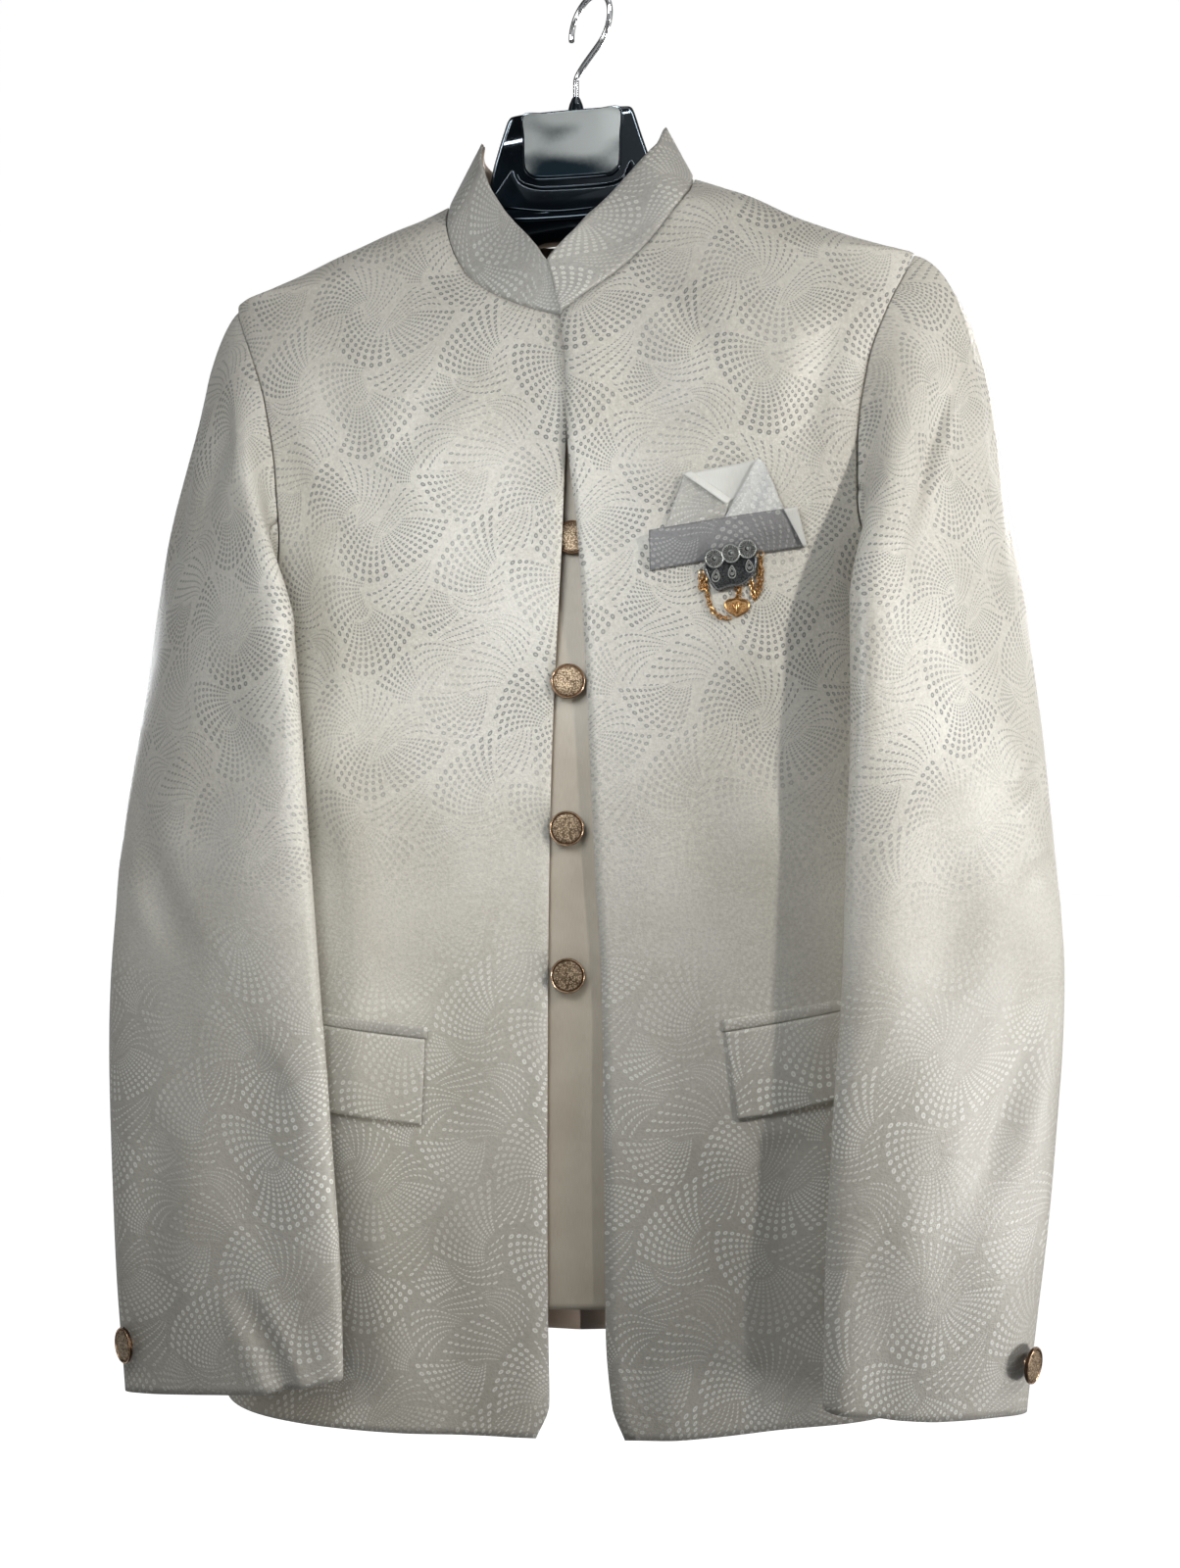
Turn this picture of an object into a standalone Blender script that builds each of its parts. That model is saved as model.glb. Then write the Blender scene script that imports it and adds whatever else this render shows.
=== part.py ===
"""Jodhpuri suit jacket, hanging open on a plastic suit hanger.

Units are metres, +Z is up and the front of the jacket faces -Y, so the wearer's right is at -X.
The origin is the inner top of the hanger's hook. The garment is worked out about the hook's
stem, level and with its shoulders straight, and hang() then puts it under the hook as it hangs.
"""

import math

import bmesh
import bpy
import numpy as np
from mathutils import Matrix, Vector

RIGHT = -1
LEFT = 1
SIDES = {"right": RIGHT, "left": LEFT}
QUARTER = math.pi / 2

SEAM_GAP = 0.0003
OUTER_GAP = 0.0008
ARMHOLE_GAP = 0.0012
OVERLAP = 0.0034
CLOTH = 0.0017
THIN_CLOTH = 0.0010

STEM = (-0.0129, 0.0088, 0.0021)
TILT = 0.03
NECK_TILT = 0.035
KNOB_X = 0.0030

NECK_Z = -0.120
NECK_FRONT_Z = -0.2185
SHOULDER_Z = {RIGHT: -0.1775, LEFT: -0.1752}
ARMPIT_Z = -0.376
HEM_Z = -0.861
BACK_NECK_Z = -0.132
STAND_HEIGHT = 0.034
STAND_HEIGHT_SIDE = 0.037

BUTTON_WIDTH = 0.020
BUTTON_SPACING = 0.0833
HOOK_WIRE = 0.0036


class Table:
    """A short table with named columns, read smoothly at any value of its first column."""

    def __init__(self, columns, rows):
        data = np.array(sorted(rows), dtype=float)
        self.key = data[:, 0]
        self.columns = {name: data[:, i] for i, name in enumerate(columns)}

    def read(self, name, place):
        """The column's value by a cubic through the rows, with no overshoot between them."""
        key, values = self.key, self.columns[name]
        step = np.diff(key)
        rise = np.diff(values) / step
        slope = np.concatenate(([rise[0]], np.zeros(len(key) - 2), [rise[-1]]))
        turning = rise[:-1] * rise[1:] > 0
        before, after = rise[:-1][turning], rise[1:][turning]
        slope[1:-1][turning] = 2 * before * after / (before + after)
        place = np.clip(place, key[0], key[-1])
        row = np.clip(np.searchsorted(key, place) - 1, 0, len(step) - 1)
        t = (place - key[row]) / step[row]
        low, high = values[row], values[row + 1]
        leave, arrive = slope[row] * step[row], slope[row + 1] * step[row]
        return (
            low * (1 + 2 * t) * (1 - t) ** 2
            + leave * t * (1 - t) ** 2
            + high * t**2 * (3 - 2 * t)
            + arrive * t**2 * (t - 1)
        )


# Level rings of the body: half its width, its depth before and behind the shoulder line, and how square it is.
BODY = Table(
    ("z", "half_width", "front", "back", "squareness"),
    (
        (-0.1200, 0.078, 0.012, 0.036, 2.1),
        (-0.1300, 0.100, 0.022, 0.043, 2.1),
        (-0.1380, 0.120, 0.029, 0.046, 2.2),
        (-0.1475, 0.140, 0.036, 0.049, 2.2),
        (-0.1560, 0.160, 0.038, 0.050, 2.3),
        (-0.1640, 0.180, 0.039, 0.051, 2.3),
        (-0.1715, 0.200, 0.040, 0.052, 2.4),
        (-0.1775, 0.216, 0.041, 0.052, 2.4),
        (-0.222, 0.216, 0.057, 0.054, 2.4),
        (-0.300, 0.207, 0.068, 0.057, 2.3),
        (-0.380, 0.190, 0.071, 0.057, 2.15),
        (-0.480, 0.192, 0.072, 0.053, 2.2),
        (-0.580, 0.198, 0.072, 0.051, 2.4),
        (-0.700, 0.208, 0.073, 0.054, 2.6),
        (-0.870, 0.216, 0.074, 0.058, 3.0),
    ),
)

# How far each front's neckline and centre edge lies from the middle, down to the hem.
EDGES = Table(
    ("z", "right", "left"),
    (
        (-0.1200, -0.0780, 0.0780),
        (-0.1370, -0.0755, 0.0750),
        (-0.1600, -0.0700, 0.0615),
        (-0.1810, -0.0600, 0.0440),
        (-0.1970, -0.0435, 0.0270),
        (-0.2050, -0.0310, 0.0160),
        (-0.2110, -0.0190, 0.0085),
        (-0.2155, -0.0070, 0.0030),
        (-0.2185, 0.0030, 0.0005),
        (-0.2290, 0.0045, 0.0010),
        (-0.2400, 0.0055, 0.0029),
        (-0.2650, 0.0062, 0.0042),
        (-0.2900, 0.0044, 0.0053),
        (-0.3500, 0.0023, 0.0115),
        (-0.4240, -0.0014, 0.0161),
        (-0.4850, -0.0037, 0.0189),
        (-0.5460, -0.0049, 0.0217),
        (-0.6010, -0.0055, 0.0250),
        (-0.7120, -0.0058, 0.0267),
        (-0.8000, -0.0052, 0.0276),
        (-0.8420, -0.0045, 0.0312),
        (-0.8610, -0.0120, 0.0385),
    ),
)

# Half the width across the chest and across the back at each height of the armholes.
ARMHOLE_COLUMNS = ("z", "front", "back")
ARMHOLES = {
    RIGHT: Table(
        ARMHOLE_COLUMNS,
        (
            (-0.1775, 0.2160, 0.2160),
            (-0.190, 0.2105, 0.2110),
            (-0.215, 0.1985, 0.2040),
            (-0.250, 0.1855, 0.1960),
            (-0.297, 0.1775, 0.1890),
            (-0.330, 0.1765, 0.1860),
            (-0.355, 0.1810, 0.1850),
            (-0.376, 0.1920, 0.1920),
        ),
    ),
    LEFT: Table(
        ARMHOLE_COLUMNS,
        (
            (-0.1752, 0.2100, 0.2100),
            (-0.190, 0.2030, 0.2060),
            (-0.215, 0.1905, 0.1990),
            (-0.250, 0.1780, 0.1920),
            (-0.297, 0.1715, 0.1870),
            (-0.330, 0.1720, 0.1850),
            (-0.355, 0.1790, 0.1850),
            (-0.376, 0.1920, 0.1920),
        ),
    ),
}

# Rings of each sleeve: how far out and forward its middle hangs, half its flat size, and its turn from facing front.
SLEEVE_COLUMNS = ("z", "out", "forward", "half_length", "half_thick", "turn", "slant")
SLEEVES = {
    RIGHT: Table(
        SLEEVE_COLUMNS,
        (
            (-0.395, 0.2225, 0.020, 0.087, 0.020, 41, 0.0),
            (-0.480, 0.2200, 0.034, 0.083, 0.020, 31, 0.0),
            (-0.580, 0.2125, 0.052, 0.0785, 0.019, 21, 0.0),
            (-0.680, 0.2024, 0.067, 0.0745, 0.016, 12, 0.0010),
            (-0.760, 0.1936, 0.076, 0.0715, 0.014, 8, 0.0045),
            (-0.8295, 0.1874, 0.081, 0.0680, 0.012, 6, 0.0080),
        ),
    ),
    LEFT: Table(
        SLEEVE_COLUMNS,
        (
            (-0.395, 0.2250, 0.020, 0.086, 0.021, 46, 0.0),
            (-0.480, 0.2275, 0.033, 0.083, 0.021, 40, 0.0),
            (-0.580, 0.2268, 0.049, 0.079, 0.019, 31, 0.0),
            (-0.680, 0.2190, 0.062, 0.0735, 0.016, 25, 0.0015),
            (-0.760, 0.2118, 0.069, 0.0695, 0.014, 23, 0.0070),
            (-0.8405, 0.2057, 0.072, 0.0645, 0.012, 23, 0.0125),
        ),
    ),
}
SLEEVE_TOP_Z = -0.395
CUFF_Z = {RIGHT: -0.8295, LEFT: -0.8405}
CROWN = math.radians(60)
UNDERARM = math.radians(270)
FRONT_SEAM = math.radians(198)
BACK_SEAM = math.radians(-12)
CUFF_BUTTON_TURN = math.radians(36)
CROWN_PULL = {RIGHT: 0.50, LEFT: 0.60}

# The strip under the front edges: its side edges, and how far it lies behind the fronts.
BUTTON_STRIP = Table(
    ("z", "right", "left", "behind"),
    (
        (-0.236, -0.022, 0.030, 0.0105),
        (-0.360, -0.024, 0.034, 0.0100),
        (-0.425, -0.025, 0.037, 0.0060),
        (-0.600, -0.027, 0.042, 0.0046),
        (-0.790, -0.027, 0.043, 0.0046),
    ),
)
BUTTON_X = (0.0040, 0.0078, 0.0064, 0.0056, 0.0062)
FIRST_BUTTON_Z = -0.2655
BUTTON_SEAT = 0.0040


def clear_scene():
    for obj in list(bpy.data.objects):
        bpy.data.objects.remove(obj, do_unlink=True)


def collection_named(name):
    collection = bpy.data.collections.new(name)
    bpy.context.scene.collection.children.link(collection)
    return collection


def material(name, colour, roughness, metallic=0.0):
    made = bpy.data.materials.new(name)
    made.use_nodes = True
    shader = made.node_tree.nodes["Principled BSDF"]
    shader.inputs["Base Color"].default_value = (*colour, 1.0)
    shader.inputs["Roughness"].default_value = roughness
    shader.inputs["Metallic"].default_value = metallic
    return made


def ease(value, start, end):
    """Rises smoothly from 0 at start to 1 at end."""
    t = np.clip((value - start) / (end - start), 0.0, 1.0)
    return t * t * (3 - 2 * t)


def unit(vectors):
    return vectors / np.maximum(np.linalg.norm(vectors, axis=-1, keepdims=True), 1e-12)


def hang(points):
    """Moves points from the stem's own frame to the part's: under the hook, with the shoulders a little tilted."""
    moved = np.array(points, dtype=float)
    moved[..., 2] += TILT * moved[..., 0]
    return moved + np.array(STEM)


HANG = Matrix(((1, 0, 0, STEM[0]), (0, 1, 0, STEM[1]), (TILT, 0, 1, STEM[2]), (0, 0, 0, 1)))


def with_strips(count, first=0.0, last=0.0):
    """Fractions from 0 to 1, with a thin first and last step that keep the cloth's edges true."""
    inner = list(np.linspace(first, 1.0 - last, count + 1))
    return np.array(([0.0] if first else []) + inner + ([1.0] if last else []))


def add_object(name, mesh, finish, collection):
    mesh.materials.append(finish)
    obj = bpy.data.objects.new(name, mesh)
    collection.objects.link(obj)
    return obj


def sheet_mesh(name, grid, flip=False, closed=False):
    """A mesh of quads through a grid of points, one row after another; closed joins each row's ends."""
    rows, columns = grid.shape[:2]
    mesh = bpy.data.meshes.new(name)
    faces = []
    for r in range(rows - 1):
        for c in range(columns if closed else columns - 1):
            after = (c + 1) % columns
            corners = (r * columns + c, r * columns + after, (r + 1) * columns + after, (r + 1) * columns + c)
            faces.append(corners[::-1] if flip else corners)
    mesh.from_pydata(hang(grid).reshape(-1, 3).tolist(), [], faces)
    mesh.shade_smooth()
    return mesh


def shell(name, grid, finish, collection, thickness=CLOTH, flip=False, closed=False):
    """Cloth: the grid is its outer side, and Solidify gives the wall behind it."""
    obj = add_object(name, sheet_mesh(name, grid, flip, closed), finish, collection)
    solid = obj.modifiers.new("Cloth thickness", "SOLIDIFY")
    solid.thickness = thickness
    solid.offset = -1.0
    return obj


# Body


def rise(x, height):
    """How far the cloth hangs above its level ring: the neck tilts more, and the hem is up at the wearer's left."""
    neck = (NECK_TILT * x + 0.0020) * ease(np.abs(x), 0.150, 0.085) * ease(height, -0.240, -0.170)
    hem = 0.006 * ease(x, 0.050, 0.160) * ease(height, -0.700, -0.860)
    return neck + hem


def body_point(angle, height):
    """A point on the cloth's outside. The angle is 0 at the centre front, a quarter turn at each side seam."""
    sine, cosine = np.sin(angle), np.cos(angle)
    power = 2.0 / BODY.read("squareness", height)
    depth = np.where(cosine > 0, BODY.read("front", height), BODY.read("back", height))
    x = BODY.read("half_width", height) * np.sign(sine) * np.abs(sine) ** power
    y = -depth * np.sign(cosine) * np.abs(cosine) ** power
    return np.stack(np.broadcast_arrays(x, y, height + rise(x, height)), axis=-1)


def angle_at(x, height):
    """The angle on the body's front half at which it is x from the middle."""
    share = np.clip(np.abs(x) / BODY.read("half_width", height), 0.0, 1.0)
    return np.sign(x) * np.arcsin(share ** (BODY.read("squareness", height) / 2))


def seam_angle(height, depth):
    """The angle just short of a side or shoulder seam, so that two panels stay apart there."""
    share = OUTER_GAP / 2 / BODY.read(depth, height)
    return np.arccos(share ** (BODY.read("squareness", height) / 2))


def side_limit(side, height, depth):
    """Where a panel ends at the side: the shoulder seam, then the armhole, then the side seam."""
    seam = seam_angle(height, depth)
    armhole = angle_at(ARMHOLES[side].read(depth, height), height)
    inside = (height < SHOULDER_Z[side]) & (height > ARMPIT_Z)
    return np.where(inside, np.minimum(armhole, seam), seam)


def body_normal(angle, height):
    step = 1e-4
    around = body_point(angle + step, height) - body_point(angle - step, height)
    up = body_point(angle, height + step) - body_point(angle, height - step)
    return unit(np.cross(around, up))


def lapped(points, side):
    """The wearer's left front lies over the right one at the top, so it is lifted there."""
    if side == LEFT:
        near = ease(points[..., 0], 0.050, 0.012) * ease(points[..., 2], -0.340, -0.300)
        points[..., 1] -= OVERLAP * near
    return points


def front_place(side, x, z):
    """A point on the front cloth x from the middle, and the cloth's outward direction there."""
    angle = angle_at(np.asarray(x, dtype=float), np.asarray(z, dtype=float))
    return lapped(body_point(angle, z), side), body_normal(angle, z)


def front_rows(side):
    neck = [NECK_Z - 0.002, -0.130, -0.142, -0.155, -0.167, SHOULDER_Z[side]]
    pit = [-0.188, -0.197, -0.205, -0.211, -0.2155, NECK_FRONT_Z, -0.226]
    chest = [-0.242, -0.268, -0.297, -0.325, -0.348, -0.364, ARMPIT_Z]
    skirt = [-0.380, -0.440, -0.520, -0.620, -0.720, -0.800, -0.842, -0.856, HEM_Z]
    return np.array(neck + pit + chest + skirt)


def front_panel(side, columns):
    heights = front_rows(side)[:, None]
    name = "left" if side == LEFT else "right"
    start = angle_at(EDGES.read(name, heights), heights)
    end = side * side_limit(side, heights, "front")
    across = with_strips(columns, 0.02, 0.012)[None, :]
    return lapped(body_point(start + (end - start) * across, heights), side)


def back_rows(side):
    neck = [NECK_Z - 0.001, -0.124, -0.128, -0.1304, -0.1315, BACK_NECK_Z, -0.145, -0.160, SHOULDER_Z[side]]
    upper = [-0.192, -0.218, -0.255, -0.297, -0.330, -0.357, ARMPIT_Z]
    skirt = [-0.380, -0.470, -0.580, -0.700, -0.800, HEM_Z]
    return np.array(neck + upper + skirt)


def back_neck_x(height):
    """Half the back neckline's width: a shallow arc from the neck points down to the centre back."""
    fall = np.clip((height - BACK_NECK_Z) / (NECK_Z - BACK_NECK_Z), 0.0, 1.0)
    return BODY.read("half_width", NECK_Z) * (1 - (1 - fall) ** 2.2) ** 0.6


def back_panel(side, columns):
    heights = back_rows(side)[:, None]
    gap = np.full_like(heights, SEAM_GAP / 2)
    start = math.pi - angle_at(np.maximum(back_neck_x(heights), gap), heights)
    end = math.pi - side_limit(side, heights, "back")
    across = with_strips(columns, 0.02, 0.012)[None, :]
    return body_point(side * (start + (end - start) * across), heights)


# Sleeves


def sleeve_ring(side, turn_about, height):
    """A point of the sleeve's section: 0 is its back fold, half a turn its front fold, and a quarter its outer face."""
    rings = SLEEVES[side]
    turn = np.radians(rings.read("turn", height))
    long = rings.read("half_length", height) * np.sign(np.cos(turn_about)) * np.abs(np.cos(turn_about)) ** 0.9
    thick = rings.read("half_thick", height) * np.sign(np.sin(turn_about)) * np.abs(np.sin(turn_about)) ** 0.9
    out = rings.read("out", height) + long * np.cos(turn) + thick * np.sin(turn)
    y = -rings.read("forward", height) + long * np.sin(turn) - thick * np.cos(turn)
    z = height - rings.read("slant", height) * np.cos(turn_about)
    return np.stack(np.broadcast_arrays(side * out, y, z), axis=-1)


def armhole_edge(side, depth):
    """The panel's edge at the armhole, row by row, from the shoulder's end down to the armpit."""
    heights = front_rows(side) if depth == "front" else back_rows(side)
    heights = heights[(heights <= SHOULDER_Z[side]) & (heights >= ARMPIT_Z)]
    limit = side_limit(side, heights, depth)
    angle = limit if depth == "front" else math.pi - limit
    return heights, body_point(side * angle, heights)


def on_edge(edge, height):
    """A point on the straight steps of a panel's edge at the given height."""
    heights, points = edge
    return np.stack([np.interp(-height, -heights, points[:, axis]) for axis in range(3)], axis=-1)


def armhole_point(side, turn_about):
    """The point of the armhole that the sleeve's line at this turn is sewn to."""
    to_front = (turn_about >= CROWN) & (turn_about <= UNDERARM)
    front_share = (turn_about - CROWN) / (UNDERARM - CROWN)
    past_crown = (CROWN - turn_about) % (2 * math.pi)
    back_share = past_crown / (CROWN + 2 * math.pi - UNDERARM)
    share = np.clip(np.where(to_front, front_share, back_share), 0.0, 1.0)
    height = SHOULDER_Z[side] + (ARMPIT_Z - SHOULDER_Z[side]) * (1 - np.cos(math.pi * share)) / 2
    front = on_edge(armhole_edge(side, "front"), height)
    back = on_edge(armhole_edge(side, "back"), height)
    return np.where(to_front[..., None], front, back)


def leaving(side, turn_about):
    """The way the sleeve leaves the armhole: over the crown outwards, at the front forwards, at the back rearwards."""
    crown = np.clip(np.cos(turn_about - CROWN), 0.0, 1.0)
    front = np.clip(-np.cos(turn_about), 0.0, 1.0) * (1 - crown)
    back = np.clip(np.cos(turn_about), 0.0, 1.0) * (1 - crown)
    under = 1 - crown - front - back
    out = 0.97 * crown + 0.25 * front + 0.45 * back + 0.60 * under
    down = 0.25 * crown + 0.55 * (front + back) + 0.80 * under
    return unit(np.stack((side * out, 0.60 * back - 0.80 * front, -down), axis=-1)), crown[..., None]


def sleeve_cap(side, turn_about, along):
    """From the armhole to the first ring: a curve that leaves the shoulder and arrives hanging down."""
    end = sleeve_ring(side, turn_about, np.full_like(turn_about, SLEEVE_TOP_Z))
    leave, crown = leaving(side, turn_about)
    start = armhole_point(side, turn_about) + leave * ARMHOLE_GAP
    reach = np.linalg.norm(end - start, axis=-1, keepdims=True)
    pull = 0.70 + (CROWN_PULL[side] - 0.70) * crown
    arrive = np.array([0.05 * side, -0.12, -1.0])
    t = along[..., None]
    return (
        start * (1 + 2 * t) * (1 - t) ** 2
        + leave * reach * pull * t * (1 - t) ** 2
        + end * t**2 * (3 - 2 * t)
        + arrive * reach * 0.9 * t**2 * (t - 1)
    )


def sleeve_grid(side, first, last, columns, cap_rows, tube_rows):
    across = with_strips(columns, 0.012, 0.012)
    turn_about = (first + (last - first) * across)[None, :]
    cap_share = np.linspace(0.0, 1.0, cap_rows + 1)[:-1] ** 1.4
    cap = [sleeve_cap(side, turn_about[0], np.full(len(across), share)) for share in cap_share]
    heights = np.linspace(SLEEVE_TOP_Z, CUFF_Z[side], tube_rows + 1)
    tube = [sleeve_ring(side, turn_about[0], np.full(len(across), height)) for height in heights]
    return np.array(cap + tube)


def sleeve_place(side, turn_about, height):
    """A point on the sleeve and the cloth's outward direction there."""
    point = sleeve_ring(side, turn_about, height)
    around = sleeve_ring(side, turn_about + 0.02, height) - point
    up = sleeve_ring(side, turn_about, height + 0.002) - point
    return point, unit(np.cross(around, up)) * -side


def build_sleeves(cloth, parts):
    gap = 0.020
    pieces = {
        "upper": (BACK_SEAM + gap, FRONT_SEAM - gap, 10),
        "under": (FRONT_SEAM + gap, BACK_SEAM + 2 * math.pi - gap, 6),
    }
    for name, side in SIDES.items():
        for piece, (first, last, columns) in pieces.items():
            grid = sleeve_grid(side, first, last, columns, 7, 8)
            shell(f"sleeve_{piece}_{name}", grid, cloth, parts, flip=side == RIGHT)


# Collar


def neck_loop():
    """The neckline from the right front edge round the back to the left front edge, with directions across it."""
    points = []
    for side in (RIGHT, LEFT):
        name = "left" if side == LEFT else "right"
        heights = front_rows(side)[::-1]
        heights = np.append(heights[heights >= NECK_FRONT_Z], NECK_Z)
        front = lapped(body_point(angle_at(EDGES.read(name, heights), heights), heights), side)
        heights_back = back_rows(side)
        heights_back = heights_back[heights_back >= BACK_NECK_Z]
        back = body_point(side * (math.pi - angle_at(back_neck_x(heights_back), heights_back)), heights_back)
        points.append(np.concatenate((front, back)))
    loop = np.concatenate((points[0], points[1][::-1][1:]))
    return loop


def resampled(line, count):
    """The same line with its points evenly spaced."""
    lengths = np.concatenate(([0.0], np.cumsum(np.linalg.norm(np.diff(line, axis=0), axis=1))))
    places = np.linspace(0.0, lengths[-1], count)
    return np.stack([np.interp(places, lengths, line[:, axis]) for axis in range(3)], axis=-1)


def smoothed(directions, passes):
    """The same directions with each one eased towards its neighbours."""
    for _ in range(passes):
        directions[1:-1] = unit(directions[:-2] + 2 * directions[1:-1] + directions[2:])
    return directions


def stand_direction(loop):
    """The stand's way up from the neckline: up the chest in front, and leaning in at the sides and back."""
    centre = np.array([0.0, -0.012, 0.0])
    inward = unit((centre - loop) * np.array([1.0, 1.0, 0.0]))
    at_front = ease(loop[:, 2], -0.175, -0.213)[:, None]
    at_back = ease(loop[:, 1], 0.005, 0.035)[:, None]
    lean = 0.56 * (1 - at_front) * (1 - at_back) + 0.20 * at_back + 0.10 * at_front
    slip = np.array([-0.25, 0.0, 0.0]) * at_front
    return unit(np.array([0.0, 0.0, 1.0]) + inward * lean + slip)


def build_collar(cloth, lining, parts):
    loop = resampled(neck_loop(), 41)
    up = stand_direction(loop)
    rows = with_strips(3)[:, None, None]
    base = loop + up * OUTER_GAP
    outward = smoothed(unit(np.cross(up, np.gradient(loop, axis=0))), 1)
    height = STAND_HEIGHT_SIDE + (STAND_HEIGHT - STAND_HEIGHT_SIDE) * ease(loop[:, 2], -0.150, -0.205)
    stand = base[None] + up[None] * height[None, :, None] * rows
    shell("collar_stand", stand, cloth, parts, flip=True)
    inner = stand[:, 1:-1] - outward[None, 1:-1] * (CLOTH + OUTER_GAP) + up[None, 1:-1] * 0.001 * rows
    shell("collar_lining", inner, lining, parts, THIN_CLOTH, flip=True)


# Front details


def on_front(side, corners, columns, rows, out, out_top=None):
    """A grid between four corners (x and z) that lies on the front, moved out from it by the given distance."""
    low_in, low_out, high_out, high_in = (np.array(corner) for corner in corners)
    across = with_strips(columns)[None, :, None]
    up = with_strips(rows)[:, None, None]
    flat = (low_in * (1 - across) + low_out * across) * (1 - up) + (high_in * (1 - across) + high_out * across) * up
    points, normals = front_place(side, flat[..., 0], flat[..., 1])
    lift = out + ((out_top if out_top is not None else out) - out) * up
    return points + normals * lift


POCKETS = {
    RIGHT: {"inner": -0.0770, "outer": -0.1780, "inner_z": -0.6345, "outer_z": -0.6245, "slant": -0.0015},
    LEFT: {"inner": 0.0950, "outer": 0.1780, "inner_z": -0.6325, "outer_z": -0.6225, "slant": 0.0065},
}
JET_HEIGHT = 0.0068
FLAP_HEIGHT = 0.0490


def build_pockets(cloth, parts):
    for name, side in SIDES.items():
        pocket = POCKETS[side]
        inner, outer, inner_z, outer_z = (pocket[key] for key in ("inner", "outer", "inner_z", "outer_z"))
        jet_in = inner - side * 0.0015
        jet = ((jet_in, inner_z), (outer, outer_z), (outer, outer_z + JET_HEIGHT), (jet_in, inner_z + JET_HEIGHT))
        grid = on_front(side, jet, 8, 1, THIN_CLOTH + SEAM_GAP)
        shell(f"pocket_jet_{name}", grid, cloth, parts, THIN_CLOTH, flip=side == RIGHT)
        drop = FLAP_HEIGHT
        low_inner = (inner + pocket["slant"], inner_z - drop)
        flap = (low_inner, (outer, outer_z - drop), (outer, outer_z - 0.0004), (inner, inner_z - 0.0004))
        grid = on_front(side, flap, 8, 4, 0.0028, 0.0020)
        shell(f"pocket_flap_{name}", grid, cloth, parts, 0.0014, flip=side == RIGHT)


WELT = ((0.0522, -0.3710), (0.1402, -0.3585), (0.1338, -0.3365), (0.0517, -0.3488))


def build_breast_pocket(cloth, plain, parts):
    grid = on_front(LEFT, WELT, 8, 2, 0.0020, 0.0052)
    shell("chest_welt", grid, cloth, parts, 0.0014)
    back = ((0.0930, -0.3500), (0.1010, -0.3500), (0.1165, -0.3068), (0.0765, -0.3145))
    shell("square_back", on_front(LEFT, back, 5, 4, 0.0013), plain, parts, 0.0008)
    left = ((0.0600, -0.3530), (0.0925, -0.3480), (0.0765, -0.3150), (0.0690, -0.3180))
    shell("square_left", on_front(LEFT, left, 4, 4, 0.0026), cloth, parts, 0.0008)
    right = ((0.0935, -0.3478), (0.1295, -0.3420), (0.1180, -0.3080), (0.1170, -0.3078))
    shell("square_right", on_front(LEFT, right, 4, 4, 0.0026), plain, parts, 0.0008)


def strip_y(height):
    """How far forward the strip's outer side hangs: it is flat from edge to edge."""
    return BUTTON_STRIP.read("behind", height) - BODY.read("front", height)


def strip_grid():
    heights = [-0.236, -0.310, -0.385, -0.640, -0.720, -0.790]
    for index in range(len(BUTTON_X)):
        middle = FIRST_BUTTON_Z - BUTTON_SPACING * index
        heights += [middle + BUTTON_SEAT, middle - BUTTON_SEAT]
    heights = np.array(sorted(heights, reverse=True))[:, None]
    start = BUTTON_STRIP.read("right", heights)
    end = BUTTON_STRIP.read("left", heights)
    x = start + (end - start) * np.linspace(0.0, 1.0, 3)[None, :]
    return np.stack(np.broadcast_arrays(x, strip_y(heights), heights), axis=-1)


def build_strip(lining, parts):
    shell("button_strip", strip_grid(), lining, parts, 0.0015, flip=True)


def lathe(name, profile, steps, finish, parts):
    """A turned piece: the profile is (radius, height) from the top of its axis down its outside."""
    mesh = bpy.data.meshes.new(name)
    edges = [(i, i + 1) for i in range(len(profile) - 1)]
    mesh.from_pydata([(radius, 0.0, height) for radius, height in profile], edges, [])
    obj = add_object(name, mesh, finish, parts)
    screw = obj.modifiers.new("Turned", "SCREW")
    screw.axis = "Z"
    screw.steps = steps
    screw.render_steps = steps
    screw.use_merge_vertices = True
    screw.merge_threshold = 0.00001
    screw.use_smooth_shade = True
    return obj


def place(obj, point, direction):
    """Sets a turned piece on a point of the garment, its axis along the given direction."""
    obj.location = Vector(hang(np.array(point)))
    obj.rotation_euler = Vector(direction).to_track_quat("Z", "Y").to_euler()


def button_profile(shank):
    rim = BUTTON_WIDTH / 2
    return (
        (0.0, 0.0030), (rim * 0.80, 0.0020), (rim * 0.84, 0.0024), (rim * 0.97, 0.0023),
        (rim, 0.0012), (rim * 0.90, 0.0), (rim * 0.28, 0.0), (rim * 0.28, -shank), (0.0, -shank),
    )


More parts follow.
